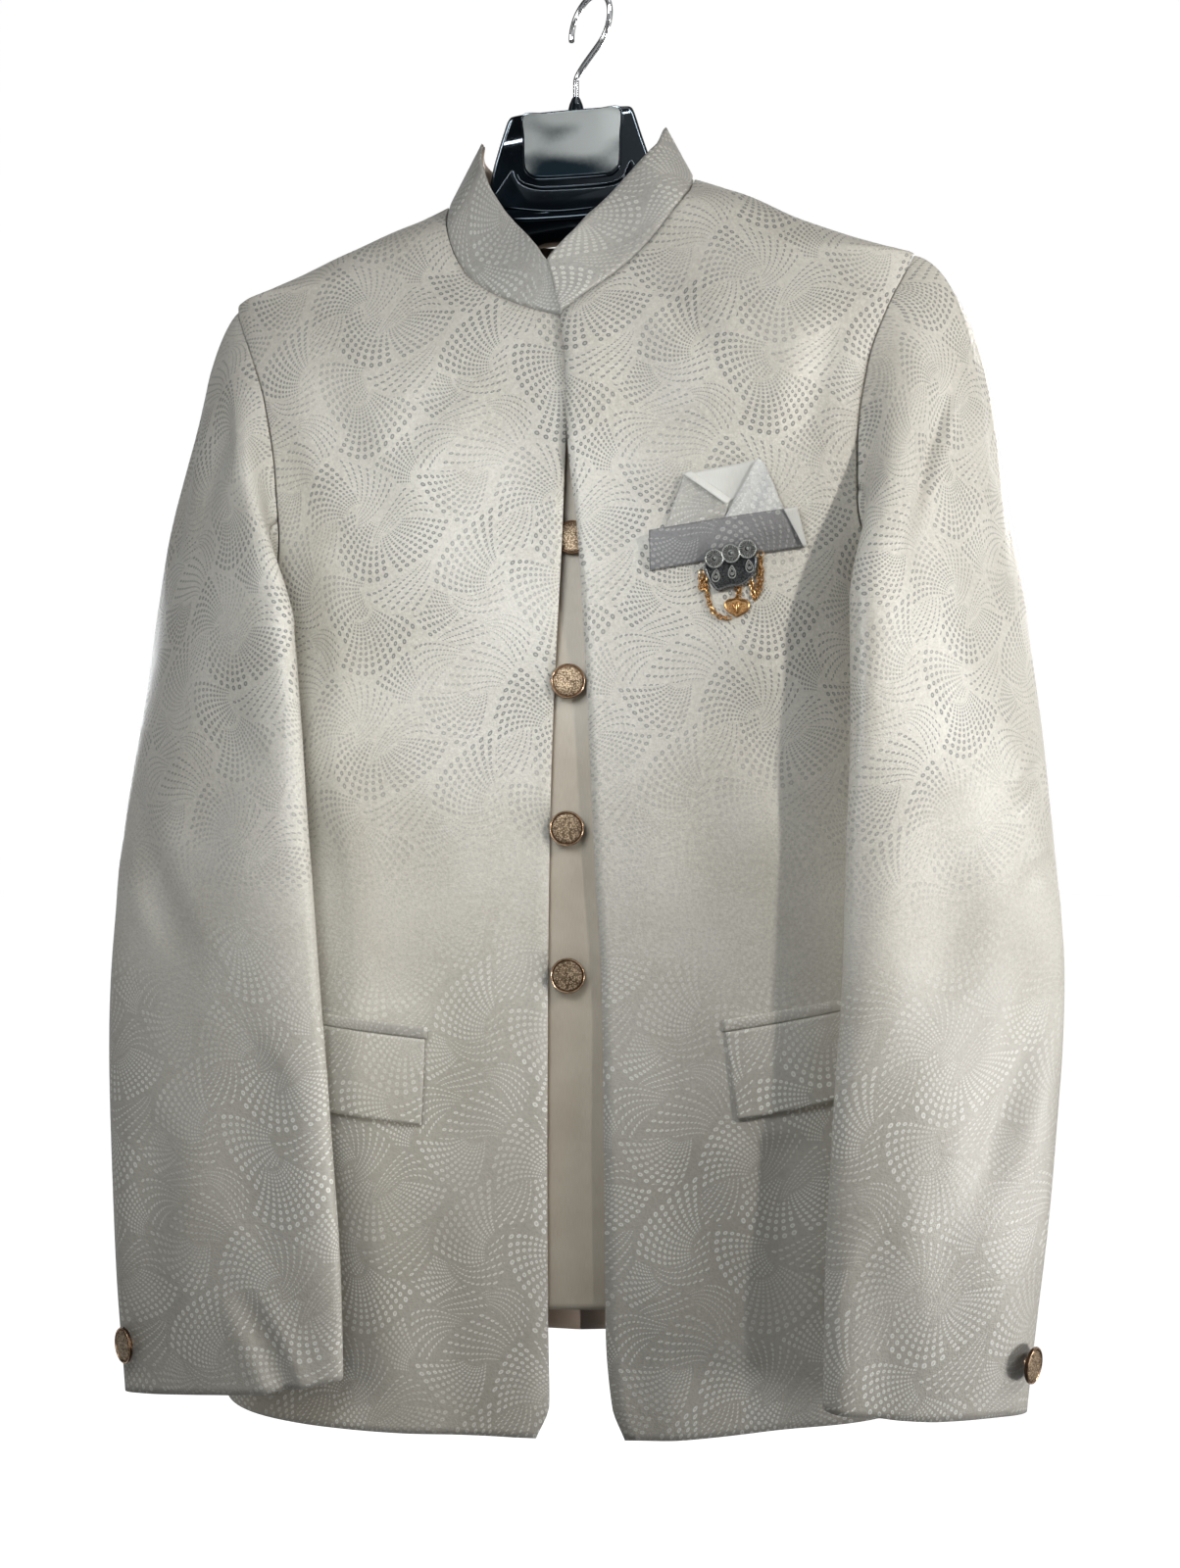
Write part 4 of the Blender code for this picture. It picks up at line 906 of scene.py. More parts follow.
def build_sleeve_piece(name, side, piece, first, last, columns):
    turn_about = np.linspace(first + SLEEVE_SEAM_GAP, last - SLEEVE_SEAM_GAP, columns + 1)
    cap = [sleeve_cap(side, turn_about, share) for share in np.linspace(0.0, 1.0, CAP_ROWS + 1)[:-1] ** 1.25]
    heights = np.linspace(SLEEVE_TOP_Z, CUFF_Z[side], SLEEVE_ROWS)
    tube = [sleeve_ring(side, turn_about, height) for height in heights]
    points = np.array(cap + tube)
    run = lengths_across(points)
    down = np.concatenate((np.zeros((1, run.shape[1])), np.cumsum(row_steps(points, 0), axis=0)))
    to_end = run[:, -1:] - run
    places = np.stack((run - run[:, -1:] / 2, -down), axis=-1)
    moved = swell(places, SLEEVE_WAVES[side]) * ease(down, 0.0, 0.06)
    moved = moved + FOLD_SCALE * folds(places, SLEEVE_FOLDS[side, piece]) * ease(down, 0.0, 0.03)
    near_edge = ease(run, 0.0, CALM_SLEEVE_EDGE) * ease(to_end, 0.0, CALM_SLEEVE_EDGE)
    moved = moved * near_edge + seam_dip(run) + seam_dip(to_end) + seam_dip(down, 0.0002, 0.001)
    hanging = down[len(cap)] - down
    grain = np.stack((-side * places[..., 0] + SLEEVE_WEAVE[side], hanging + 0.05), axis=-1)
    rests_on = [f"front_{name}_cloth", f"back_{name}_cloth"]
    node = f"sleeve_{piece}_{name}"
    sew(node, rests_on, points, grain, BOTH_FACES, CLOTH, side == RIGHT, moved)


def sleeve_place(side, turn_about, height):
    """A point on the sleeve and the cloth's outward direction there."""
    point = sleeve_ring(side, turn_about, height)
    around = sleeve_ring(side, turn_about + 0.02, height) - point
    up = sleeve_ring(side, turn_about, height + 0.002) - point
    return point, unit(np.cross(around, up)) * -side


def build_sleeves():
    for name, side in SIDES.items():
        build_sleeve_piece(name, side, "upper", BACK_SEAM, FRONT_SEAM, 66)
        build_sleeve_piece(name, side, "under", FRONT_SEAM, BACK_SEAM + 2 * math.pi, 44)


# Collar


def neck_loop():
    """The neckline from the right front edge round the back to the left front edge."""
    points = []
    for name, side in SIDES.items():
        heights = np.linspace(NECK_FRONT_Z, NECK_Z, 120)
        front = lapped(body_point(angle_at(EDGES.read(name, heights), heights), heights), side)
        heights = np.linspace(NECK_Z - 0.0004, BACK_NECK_Z, 60)
        back = body_point(side * (math.pi - angle_at(back_neck_x(heights), heights)), heights)
        points.append(np.concatenate((front, back)))
    return np.concatenate((points[0], points[1][::-1][1:]))


def resampled(line, count):
    """The same line with its points evenly spaced."""
    lengths = np.concatenate(([0.0], np.cumsum(np.linalg.norm(np.diff(line, axis=0), axis=1))))
    places = np.linspace(0.0, lengths[-1], count)
    return np.stack([np.interp(places, lengths, column) for column in line.T], axis=-1)


def smoothed(directions, passes):
    """The same directions with each one eased towards its neighbours."""
    for _ in range(passes):
        directions[1:-1] = unit(directions[:-2] + 2 * directions[1:-1] + directions[2:])
    return directions


# The stand's way up from the neckline and its height, along the neckline from the right front edge to the left one.
STAND = Table(
    "share x y z height",
    "share x y z",
    (0.0, -0.33, 0.01, 0.94, 35), (0.05, 0.1, 0.04, 0.99, 39), (0.1, 0.34, 0.12, 0.93, 44),
    (0.15, 0.5, 0.08, 0.85, 45), (0.2, 0.53, 0.13, 0.84, 43), (0.25, 0.51, 0.05, 0.87, 41.2),
    (0.3, 0.5, -0.06, 0.87, 43), (0.35, 0.34, -0.13, 0.93, 42), (0.4, 0.17, -0.13, 0.98, 39),
    (0.5, 0.01, -0.2, 0.98, 37), (0.6, -0.14, -0.14, 0.98, 37), (0.65, -0.25, -0.13, 0.96, 37),
    (0.7, -0.47, -0.09, 0.88, 37), (0.75, -0.52, 0.05, 0.86, 37.2), (0.8, -0.51, 0.12, 0.85, 39),
    (0.85, -0.47, 0.17, 0.87, 42.5), (0.9, -0.47, 0.18, 0.86, 43), (0.95, -0.38, 0.12, 0.92, 38),
    (1.0, -0.24, 0.11, 0.96, 35),
)
STAND_GAP = 0.0004
STAND_COLUMNS = 161
STAND_ROWS = 15


def build_collar():
    loop = resampled(neck_loop(), STAND_COLUMNS)
    share = np.linspace(0.0, 1.0, len(loop))
    up = smoothed(unit(np.stack([STAND.read(axis, share) for axis in "xyz"], axis=-1)), 6)
    outward = smoothed(unit(np.cross(up, np.gradient(loop, axis=0))), 14)
    rows = np.linspace(0.0, 1.0, STAND_ROWS)[:, None, None]
    height = STAND.read("height", share)
    stand = loop + up * STAND_GAP + up * height[:, None] * rows
    run = lengths_across(stand)
    rise_up = rows[..., 0] * height
    grain = np.stack((run - run[:, -1:] / 2 + 0.02, rise_up + 0.9), axis=-1)
    rests_on = ["front_right_cloth", "front_left_cloth"]
    # The collar's jacquard copy is painted darker as shade, its dots painted mostly light.
    faces = (COLLAR_PAINTED_SHADE_JACQUARD, LINING)
    moved = seam_dip(rise_up, 0.0009, 0.0018)
    sew("collar_stand", rests_on, stand, grain, faces, CLOTH, True, moved)
    inner = stand[:, 2:-2] - outward[2:-2] * (CLOTH + STAND_GAP) - up[2:-2] * 0.0008 * rows
    grain = np.stack((lengths_across(inner), rise_up[:, 2:-2]), axis=-1)
    sew("collar_lining", ["collar_stand_cloth"], inner, grain, (LINING,), LINING_CLOTH, flip=True)


# Front details


def on_front(side, corners, columns, rows, out, out_top):
    """A grid between four corners (x and z) that lies on the front, moved out from it by the given distances."""
    low_in, low_out, high_out, high_in = np.array(corners)
    across = np.linspace(0.0, 1.0, columns + 1)[None, :, None]
    up = np.linspace(0.0, 1.0, rows + 1)[:, None, None]
    low = low_in * (1 - across) + low_out * across
    flat = low * (1 - up) + (high_in * (1 - across) + high_out * across) * up
    points, normals = front_place(side, flat[..., 0], flat[..., 1])
    return points + normals * (out + (out_top - out) * up), flat, across[..., 0], up[..., 0]


def build_pockets():
    for name, side in SIDES.items():
        inner, outer, inner_z, outer_z, slant = POCKETS[side].values()
        jet_in = inner - side * 0.0015
        corners = ((jet_in, inner_z), (outer, outer_z), (outer, outer_z + JET_HEIGHT), (jet_in, inner_z + JET_HEIGHT))
        points, flat, across, up = on_front(side, corners, 40, 6, 0.0012, 0.0012)
        moved = 0.0006 * np.sin(math.pi * up) + 0 * across
        jet = panel(f"pocket_jet_{name}_cloth", points, flat + 0.31, (JACQUARD,), JET_CLOTH, side == RIGHT, moved)
        declare(jet, [f"pocket_jet_{name}"])
        low_inner = (inner + slant, inner_z - FLAP_HEIGHT)
        corners = (low_inner, (outer, outer_z - FLAP_HEIGHT), (outer, outer_z - 0.0002), (inner, inner_z - 0.0002))
        points, flat, across, up = on_front(side, corners, 44, 24, 0.0030, 0.0018)
        moved = (0.0008 * np.sin(math.pi * across) - 0.0006 * ease(across, 0.10, 0.0)) * (1 - up)
        flap = panel(f"pocket_flap_{name}_cloth", points, flat + 0.17, BOTH_FACES, SMALL_CLOTH, side == RIGHT, moved)
        node = f"pocket_flap_{name}"
        declare(flap, [node], cloth_size(points), [f"front_{name}_cloth"], [jet])


# The pieces at the breast, by their corners (x and z): the welt with its turned end, and the pocket square's folds,
# with the satin hem of one.
WELT = ((52.2, -371.0), (140.2, -358.5), (133.8, -336.5), (51.7, -348.8))
WELT_END = ((138.5, -358.5), (140.2, -358.2), (133.7, -336.7), (126.2, -338.0))
SQUARE_BACK = ((90.0, -350.0), (101.0, -350.0), (115.0, -309.2), (73.5, -316.5))
SQUARE_LEFT = ((59.2, -352.5), (94.5, -347.0), (96.2, -333.5), (71.5, -316.0))
SQUARE_HEM = ((70.5, -317.2), (94.5, -334.8), (98.2, -331.8), (74.8, -315.2))
SQUARE_RIGHT = ((91.5, -346.5), (129.0, -341.0), (116.0, -312.0), (112.5, -309.0))
WELT_SWELL = (52, -360, 138, -346, 6, -0.5)
LEFT_SWELLS = ((66, -345, 83, -322, 3.5, 0.7), (75, -348, 92, -334, 3, -0.5))
RIGHT_SWELLS = ((104, -344, 117, -316, 3.5, 0.7), (114, -343, 120, -322, 3, -0.6))


def laid(corners, columns, rows, out, out_top, *swells):
    """A grid between four corners on the wearer's left front, with its place and a push for its soft swells."""
    points, flat, _, _ = on_front(LEFT, millimetres(*corners), columns, rows, out, out_top)
    return points, flat, folds(flat, millimetres(*swells)) + np.zeros(points.shape[:2])


def satin_trim(name, thickness, *grid):
    points, flat, _ = laid(*grid)
    trim = panel(name, points, flat, (PLAIN,), thickness)
    declare(trim, [])
    return trim


def build_breast_pocket():
    points, flat, moved = laid(WELT, 60, 14, 0.0022, 0.0054, WELT_SWELL)
    moved = moved - 0.0008 * ease(flat[..., 0], 0.127, 0.139)
    # The welt's jacquard copy is painted dark as shade.
    welt = panel("chest_welt_cloth", points, flat + 0.43, (WELT_PAINTED_SHADE_JACQUARD, PLAIN), SMALL_CLOTH, moved=moved)
    end = satin_trim("chest_welt_end", THIN_CLOTH, WELT_END, 10, 12, 0.0040, 0.0064)
    declare(welt, ["chest_welt"], cloth_size(points), ["front_left_cloth"], [end])
    points, flat, moved = laid(SQUARE_BACK, 24, 24, 0.0014, 0.0016)
    sew("square_back", ["chest_welt_cloth"], points, flat, (PLAIN,), THIN_CLOTH, moved=moved)
    points, flat, moved = laid(SQUARE_LEFT, 30, 26, 0.0024, 0.0032, *LEFT_SWELLS)
    # The square's left fold takes the collar's copy, painted darker as shade.
    square = panel("square_left_cloth", points, flat + 0.05, (COLLAR_PAINTED_SHADE_JACQUARD, PLAIN), SQUARE_CLOTH, moved=moved)
    hem = satin_trim("square_left_hem", SQUARE_CLOTH, SQUARE_HEM, 24, 5, 0.0046, 0.0036)
    declare(square, ["square_left"], cloth_size(points), ["chest_welt_cloth"], [hem])
    points, flat, moved = laid(SQUARE_RIGHT, 30, 26, 0.0032, 0.0042, *RIGHT_SWELLS)
    # The square's right fold has its dots painted light everywhere.
    finishes = (SQUARE_PAINTED_LIGHT_DOT_JACQUARD, PLAIN)
    sew("square_right", ["chest_welt_cloth"], points, flat + 0.61, finishes, SQUARE_CLOTH, moved=moved)


def strip_y(height):
    """How far forward the strip's outer side hangs: it is flat from edge to edge."""
    return BUTTON_STRIP.read("behind", height) - BODY.read("front", height)


def button_heights():
    return [FIRST_BUTTON_Z - BUTTON_SPACING * index for index in range(len(BUTTON_X))]


def build_strip():
    heights = np.linspace(STRIP_HEM_Z, STRIP_TOP_Z, 140)[:, None]
    x = between_edges(BUTTON_STRIP.read("right", heights), BUTTON_STRIP.read("left", heights), 15)
    points = np.stack(np.broadcast_arrays(x, strip_y(heights), heights), axis=-1)
    places = points[..., [0, 2]].copy()
    moved = swell(places, ((0.0004, 0.09, 0.31, 0.0), (0.0003, -0.06, 0.17, 1.0)))
    for z in button_heights():
        moved = moved * (1 - np.exp(-(((heights - z) / 0.012) ** 2)))
    sew("button_strip", ["front_right_cloth"], points, places, (STRIP,), SMALL_CLOTH, moved=moved)


# Buttons


def add_spun(work, verts, edges, steps, merge, band=None):
    """A line turned about the Z axis and added to a piece, with its loose line merged in."""
    before = set(work.verts) - set(verts)
    turn = {"cent": (0, 0, 0), "axis": (0, 0, 1), "angle": 2 * math.pi, "steps": steps, "use_merge": True}
    bmesh.ops.spin(work, geom=verts + edges, **turn)
    bmesh.ops.remove_doubles(work, verts=[vert for vert in work.verts if vert not in before], dist=merge)
    made = [vert for vert in work.verts if vert not in before]
    faces = list({face for vert in made for face in vert.link_faces})
    bmesh.ops.recalc_face_normals(work, faces=faces)
    for face in faces:
        centre = face.calc_center_median()
        face.material_index = band(math.hypot(centre.x, centre.y), centre.z) if band else 0
    return made


def add_turned(work, profile, steps, band=None):
    """A turned shape added to a piece: the profile is (radius, height) from the top of its axis down its outside."""
    verts = [work.verts.new((radius, 0.0, height)) for radius, height in profile]
    edges = [work.edges.new(pair) for pair in zip(verts[:-1], verts[1:])]
    add_spun(work, verts, edges, steps, 0.000005, band)


def add_ring(work, matrix, radius, wire, around=12, section=6):
    """A small round ring, added to a piece by turning a circle about an axis."""
    place = Matrix.Translation((radius, 0, 0)) @ Matrix.Rotation(math.pi / 2, 4, "X")
    verts = bmesh.ops.create_circle(work, segments=section, radius=wire, matrix=place)["verts"]
    edges = list({edge for vert in verts for edge in vert.link_edges})
    made = add_spun(work, verts, edges, around, wire * 0.01)
    bmesh.ops.transform(work, matrix=matrix, verts=made)


def add_bead(work, centre, radius, flat=1.0, detail=1, material=0):
    matrix = Matrix.Translation(centre) @ Matrix.Diagonal((1.0, 1.0, flat, 1.0))
    made = bmesh.ops.create_icosphere(work, subdivisions=detail, radius=radius, matrix=matrix)["verts"]
    for face in {face for vert in made for face in vert.link_faces}:
        face.material_index = material


def standing(point, direction):
    """The place of a turned piece on the garment, its axis along the given direction."""
    turn = Vector(direction).to_track_quat("Z", "Y").to_matrix().to_4x4()
    return Matrix.Translation(Vector(hang(np.array(point)))) @ turn


# A button's section from the middle of its top: shares of its radius, and heights.
BUTTON_PROFILE = (
    (0, 2.3), (0.3, 2.28), (0.6, 2.15), (0.78, 1.95), (0.82, 1.8), (0.845, 1.3), (0.875, 1.3), (0.9, 2.0),
    (0.94, 2.3), (0.975, 2.0), (1, 1.3), (0.985, 0.6), (0.93, 0.1), (0.85, 0), (0.28, 0),
)
BUTTON_BEADS = ((18, 0.42), (26, 0.60), (34, 0.745))


def build_button(node, shank, matrix):
    """A cast shank button: a raised rim, a beaded ring and a low dome."""
    rim = BUTTON_WIDTH / 2
    profile = [(rim * share, height / 1000) for share, height in BUTTON_PROFILE]
    profile += [(rim * 0.26, -shank * 0.5), (rim * 0.28, -shank), (0.0, -shank)]

    def band(radius, height):
        if height < 0.0006 or radius > rim * 0.985:
            return 2 if radius > rim * 0.5 else 1
        return 0 if radius < rim * 0.815 else 2 if radius < rim * 0.885 else 1

    work = bmesh.new()
    add_turned(work, profile, 56, band)
    for count, share in BUTTON_BEADS:
        for index in range(count):
            angle = 2 * math.pi * index / count
            add_bead(work, (rim * share * math.cos(angle), rim * share * math.sin(angle), 0.0020), 0.00048, 0.8)
    bmesh.ops.transform(work, matrix=matrix, verts=work.verts)
    declare(finished(f"{node}_cast", work, (BUTTON_FACE, BUTTON_RIM, BUTTON_GROOVE)), [node])


def build_buttons():
    for index, (x, z) in enumerate(zip(BUTTON_X, button_heights())):
        shank = SHORT_SHANK if index < 2 else float(BUTTON_STRIP.read("behind", z)) + 0.0006
        high, low = (float(strip_y(z + step)) for step in (BUTTON_SEAT, -BUTTON_SEAT))
        normal = unit(np.array([0.0, -1.0, (high - low) / (2 * BUTTON_SEAT)]))
        point = np.array([x, (high + low) / 2, z]) + normal * (SEAM_GAP + shank)
        build_button(f"front_button_{index + 1}", shank, standing(point, normal))
    for name, side in SIDES.items():
        place = np.array(CUFF_BUTTON_TURN), np.array(CUFF_Z[side] + CUFF_BUTTON_RISE)
        point, normal = sleeve_place(side, *place)
        facing = unit(normal + np.array([CUFF_BUTTON_FACING * side, 0.0, 0.0]))
        point = point + normal * CUFF_BUTTON_SEAT + facing * SHORT_SHANK
        build_button(f"cuff_button_{name}", SHORT_SHANK, standing(point, facing))


# Brooch

LINK_SPACING = 0.0024
LINK_RADIUS = 0.00128
LINK_WIRE = 0.00046
LINK_LENGTH = 1.35
LINK_LEANS = (-38, 52)
CHAIN_OUT = 0.0016
FLUTES = 24


def over_front(x, z, out):
    """Points of the wearer's left front, moved out from the cloth, and the cloth's outward direction there."""
    points, normals = front_place(LEFT, x, z)
    return points + normals * out, normals


def wire_mesh(points, width, closed=False, roundness=2):
    """A round wire through the points."""
    curve_data = bpy.data.curves.new("wire", "CURVE")
    curve_data.dimensions = "3D"
    curve_data.bevel_depth = width / 2
    curve_data.bevel_resolution = roundness
    curve_data.use_fill_caps = not closed
    spline = curve_data.splines.new("POLY")
    spline.points.add(len(points) - 1)
    for point, place in zip(spline.points, points):
        point.co = (*place, 1.0)
    spline.use_cyclic_u = closed
    obj = linked("wire", curve_data)
    bpy.context.view_layer.update()
    mesh = bpy.data.meshes.new_from_object(obj.evaluated_get(bpy.context.evaluated_depsgraph_get()))
    bpy.data.objects.remove(obj)
    return mesh


def add_mesh(work, mesh, material=0):
    before = set(work.faces)
    work.from_mesh(mesh)
    for face in work.faces:
        if face not in before:
            face.material_index = material
            face.smooth = True
    bpy.data.meshes.remove(mesh)


def flat_line(line, y=None):
    """A line of two columns with a third: a level last one, or a given one between them."""
    first, second = np.array(line).T
    return np.column_stack((first, second, 0 * first) if y is None else (first, y + 0 * first, second))


def rounded(points, count, closed=False):
    """A smooth line through a few points."""
    points = np.array(points, dtype=float)
    if closed:
        points = np.concatenate((points[-1:], points, points[:2]))
    else:
        points = np.concatenate((2 * points[:1] - points[1:2], points, 2 * points[-1:] - points[-2:-1]))
    spans = len(points) - 3
    places = np.linspace(0, spans, count, endpoint=not closed)
    index = np.minimum(places.astype(int), spans - 1)
    t = (places - index)[:, None]
    a, b, c, d = (points[index + i] for i in range(4))
    return 0.5 * (2 * b + (c - a) * t + (2 * a - 5 * b + 4 * c - d) * t**2 + (3 * b - a - 3 * c + d) * t**3)


def axes_at(point, *axes):
    """The place of a small piece whose own axes are the given ones."""
    return Matrix.Translation(Vector(hang(point))) @ Matrix(np.column_stack(axes).tolist()).to_4x4()


def add_chain(work, line):
    """Links along a line (x and z) of the front, each turned against the one before."""
    line = rounded(line, 60)
    count = max(int(row_steps(line, 0).sum() / LINK_SPACING), 2)
    line = resampled(line, count + 1)
    for index in range(count):
        x, z = (line[index] + line[index + 1]) / 2
        point, normal = over_front(x, z, CHAIN_OUT + 0.0004 * (index % 2))
        step = line[index + 1] - line[index]
        way = unit(np.array([step[0], 0.0, step[1]]))
        way = unit(way - normal * (way @ normal))
        lean = math.radians(LINK_LEANS[index % 2])
        axis = normal * math.cos(lean) + np.cross(normal, way) * math.sin(lean)
        matrix = axes_at(point, way * LINK_LENGTH, np.cross(axis, way), axis)
        add_ring(work, matrix, LINK_RADIUS, LINK_WIRE)


def front_matrix(x, z, out, turn=0.0):
    """The place of a small piece on the front, its Y upwards and its Z out of the cloth."""
    point, normal = over_front(x, z, out)
    up = unit(np.array([math.sin(turn), 0.0, math.cos(turn)]))
    up = unit(up - normal * (up @ normal))
    return axes_at(point, np.cross(up, normal), up, normal)


DISC_PLACES = ((0.0876, -0.3658), (0.0967, -0.3630), (0.1058, -0.3605))
DISC_PROFILE = millimetres(
    (0, 2.6), (0.5, 2.55), (0.9, 2.1), (1.05, 1.5), (1.4, 1.3), (1.8, 1.6), (2.4, 1.9), (3.2, 2), (4, 1.8),
    (4.6, 1.4), (4.9, 1.1), (5.2, 1.2), (5.5, 0.9), (5.6, 0.4), (5.3, 0), (0, 0),
)


def disc_band(radius, height):
    return 1 if radius > 0.0052 else 2 if 0.0008 < radius < 0.0015 else 0


def flute(place):
    """How far a place of a disc is from its axis, and the height of its flutes there, from -1 to 1."""
    return math.hypot(place.x, place.y), math.cos(FLUTES * math.atan2(place.y, place.x))


def build_discs():
    for index, (x, z) in enumerate(DISC_PLACES):
        work = bmesh.new()
        add_turned(work, DISC_PROFILE, 4 * FLUTES, disc_band)
        for vert in work.verts:
            radius, wave = flute(vert.co)
            share = float(ease(radius, 0.0016, 0.0026) * ease(radius, 0.0050, 0.0044))
            if vert.co.z > 0.0008:
                vert.co.z += 0.00042 * share * wave
        for face in work.faces:
            centre = face.calc_center_median()
            radius, wave = flute(centre)
            if centre.z > 0.0008 and 0.0016 < radius < 0.0047 and wave < 0.35:
                face.material_index = 2
        bmesh.ops.transform(work, matrix=front_matrix(x, z, BROOCH_OUT + 0.0002), verts=work.verts)
        disc = finished(f"brooch_disc_{index + 1}_cast", work, (SILVER, EDGE_SILVER, BLACKENED))
        declare(disc, [f"brooch_disc_{index + 1}"])


BAR_OUTLINE = millimetres(
    (82.4, -369.6), (83.2, -374), (85.5, -378.5), (89.3, -383.3), (93, -382.6), (96.5, -381.5), (100.3, -381.2),
    (103.5, -380.5), (107.9, -377.1), (110.6, -372.8), (111.7, -368), (110.8, -364), (105, -362),
    (98.2, -362.5), (91, -364.2), (85, -366.5),
)
BAR_THICKNESS = 0.0016
# The bar's three drops: place (x and z) and lean, and the sizes and wires of each drop's two frames.
DROPS = ((0.0887, -0.3752, 0.12), (0.0977, -0.3733, -0.02), (0.1073, -0.3700, -0.16))
DROP_FRAMES = ((1.0, 0.00060), (0.55, 0.00042))


def build_brooch_bar():
    line = rounded(BAR_OUTLINE, 64, closed=True)
    points, _ = over_front(*line.T, BROOCH_OUT - 0.0018)
    normal = Vector(over_front(0.0975, -0.372, 0.0)[1])
    work = bmesh.new()
    face = work.faces.new([work.verts.new(point) for point in hang(points)])
    face.normal_update()
    if face.normal.dot(normal) < 0:
        bmesh.ops.reverse_faces(work, faces=[face])
    raised = bmesh.ops.extrude_face_region(work, geom=[face])["geom"]
    top = [item for item in raised if isinstance(item, bmesh.types.BMFace)]
    lifted = [item for item in raised if isinstance(item, bmesh.types.BMVert)]
    bmesh.ops.translate(work, vec=normal * BAR_THICKNESS, verts=lifted)
    rim = list(top[0].edges)
    bmesh.ops.recalc_face_normals(work, faces=work.faces)
    soften = {"segments": 2, "profile": 0.5, "affect": "EDGES", "material": -1}
    bmesh.ops.bevel(work, geom=rim, offset=0.0004, **soften)
    inner = max(work.faces, key=lambda item: item.calc_area() if item.normal.dot(normal) > 0.9 else 0.0)
    inner.material_index = 2
    ring = bmesh.ops.inset_region(work, faces=[inner], thickness=0.0006, depth=-0.0004)
    for face in ring["faces"]:
        face.material_index = 0
    bmesh.ops.triangulate(work, faces=[item for item in work.faces if len(item.verts) > 4])
    for x, z in resampled(line, 60)[:-1]:
        point, _ = over_front(x, z, BROOCH_OUT - 0.0001)
        add_bead(work, Vector(hang(point)), 0.00050)
    angles = np.linspace(0, 2 * math.pi, 28, endpoint=False)
    for x, z, turn in DROPS:
        for size, wire in DROP_FRAMES:
            across = size * 0.0026 * np.sin(angles) * np.sin(angles / 2) ** 0.8
            above = size * 0.0035 * np.cos(angles) + 0.0004 * (1 - size)
            outline = np.column_stack((across, above, np.full_like(across, 0.0002)))
            mesh = wire_mesh(outline, wire, closed=True, roundness=1)
            mesh.transform(front_matrix(x, z, BROOCH_OUT - 0.0003, turn))
            add_mesh(work, mesh, 1)
        bead = front_matrix(x, z - 0.0008, BROOCH_OUT + 0.0001, turn)
        add_bead(work, bead.translation, 0.00062, 1.0, 2, 1)
    bar = finished("brooch_bar_cast", work, (EDGE_SILVER, SILVER, BLACKENED))
    declare(bar, ["brooch_bar"])


# Each chain's strands on the front (x and z), and its ring's place and radius.
CHAINS = {
    "left": (
        (0.0811, -0.3728, 0.0013),
        millimetres((81.1, -374.1), (80.6, -378.5), (81.3, -382.6), (82.9, -380), (83.2, -375.2)),
        millimetres((83, -375), (84, -382), (85.2, -388.5), (87.5, -394.5), (92, -398.3), (97.3, -399)),
    ),
    "middle": (
        (0.1022, -0.3800, 0.0010),
        millimetres((103, -380), (102.6, -384.2), (102, -387.2)),
        millimetres((101.5, -380.6), (101.2, -384.2), (101.2, -387.2)),
    ),
    "right": (
        (0.1144, -0.3630, 0.0018),
        millimetres((114.4, -364.5), (114.2, -370.9), (113.4, -378.7), (112.4, -386), (111.2, -388.6)),
        millimetres((111.2, -388.6), (110.2, -385), (109.6, -381), (108.6, -376.5)),
        millimetres((114.2, -365.5), (115.2, -372), (114.8, -380), (113.2, -386.2)),
    ),
}


def build_chains():
    for name, ((x, z, size), *strands) in CHAINS.items():
        work = bmesh.new()
        for strand in strands:
            add_chain(work, strand)
        add_ring(work, front_matrix(x, z, 0.0024), size, 0.00035, 24, 8)
        chain = finished(f"brooch_chain_{name}_links", work, (GOLD,))
        declare(chain, [f"brooch_chain_{name}"])


PENDANT_PLACE = (0.1014, -0.3926, 0.0013)
PENDANT_HALF = (
    (0, 5.6), (1.8, 4.4), (5.2, 3.6), (6.9, 1.2), (5.6, -2), (2.4, -4), (0, -5.2),
)
PETAL = 0.0021


def build_pendant():
    """A lotus drop: a shaped frame with three petals inside."""
    work = bmesh.new()
    matrix = front_matrix(*PENDANT_PLACE)
    outline = millimetres(*PENDANT_HALF, *((-x, y) for x, y in PENDANT_HALF[-2:0:-1]))
    mesh = wire_mesh(flat_line(rounded(outline, 60, closed=True)), 0.0014, closed=True)
    mesh.transform(matrix)
    add_mesh(work, mesh)
    backing = bmesh.ops.create_circle(work, cap_ends=True, segments=48, radius=1.0)["verts"]
    for vert, (x, y) in zip(backing, rounded(0.88 * outline, 48, closed=True)):
        vert.co = (x, y, -0.0004)
    bmesh.ops.transform(work, matrix=matrix, verts=backing)
    for turn, size in ((0.0, 1.15), (0.75, 1.0), (-0.75, 1.0)):
        made = bmesh.ops.create_icosphere(work, subdivisions=3, radius=PETAL)["verts"]
        for vert in made:
            narrow = 1.0 - 0.55 * float(ease(vert.co.y, 0.0, PETAL))
            vert.co.x *= 0.62 * narrow
            vert.co.y *= 1.45
            vert.co.z *= 0.42
        shift = Matrix.Translation((0.0, 0.0012, 0.0001 if turn else 0.0004)) @ Matrix.Scale(size, 4)
        place = matrix @ Matrix.Translation((0, -0.0014, 0)) @ Matrix.Rotation(-turn, 4, "Z") @ shift
        bmesh.ops.transform(work, matrix=place, verts=made)
    for index in range(9):
        angle = math.pi * (index / 8 - 0.5) * 1.5
        place = matrix @ Vector((0.0044 * math.sin(angle), 0.0028 * math.cos(angle) - 0.0004, 0.0002))
        add_bead(work, place, 0.00038)
    declare(finished("brooch_pendant_cast", work, (GOLD,)), ["brooch_pendant"])


# Hanger

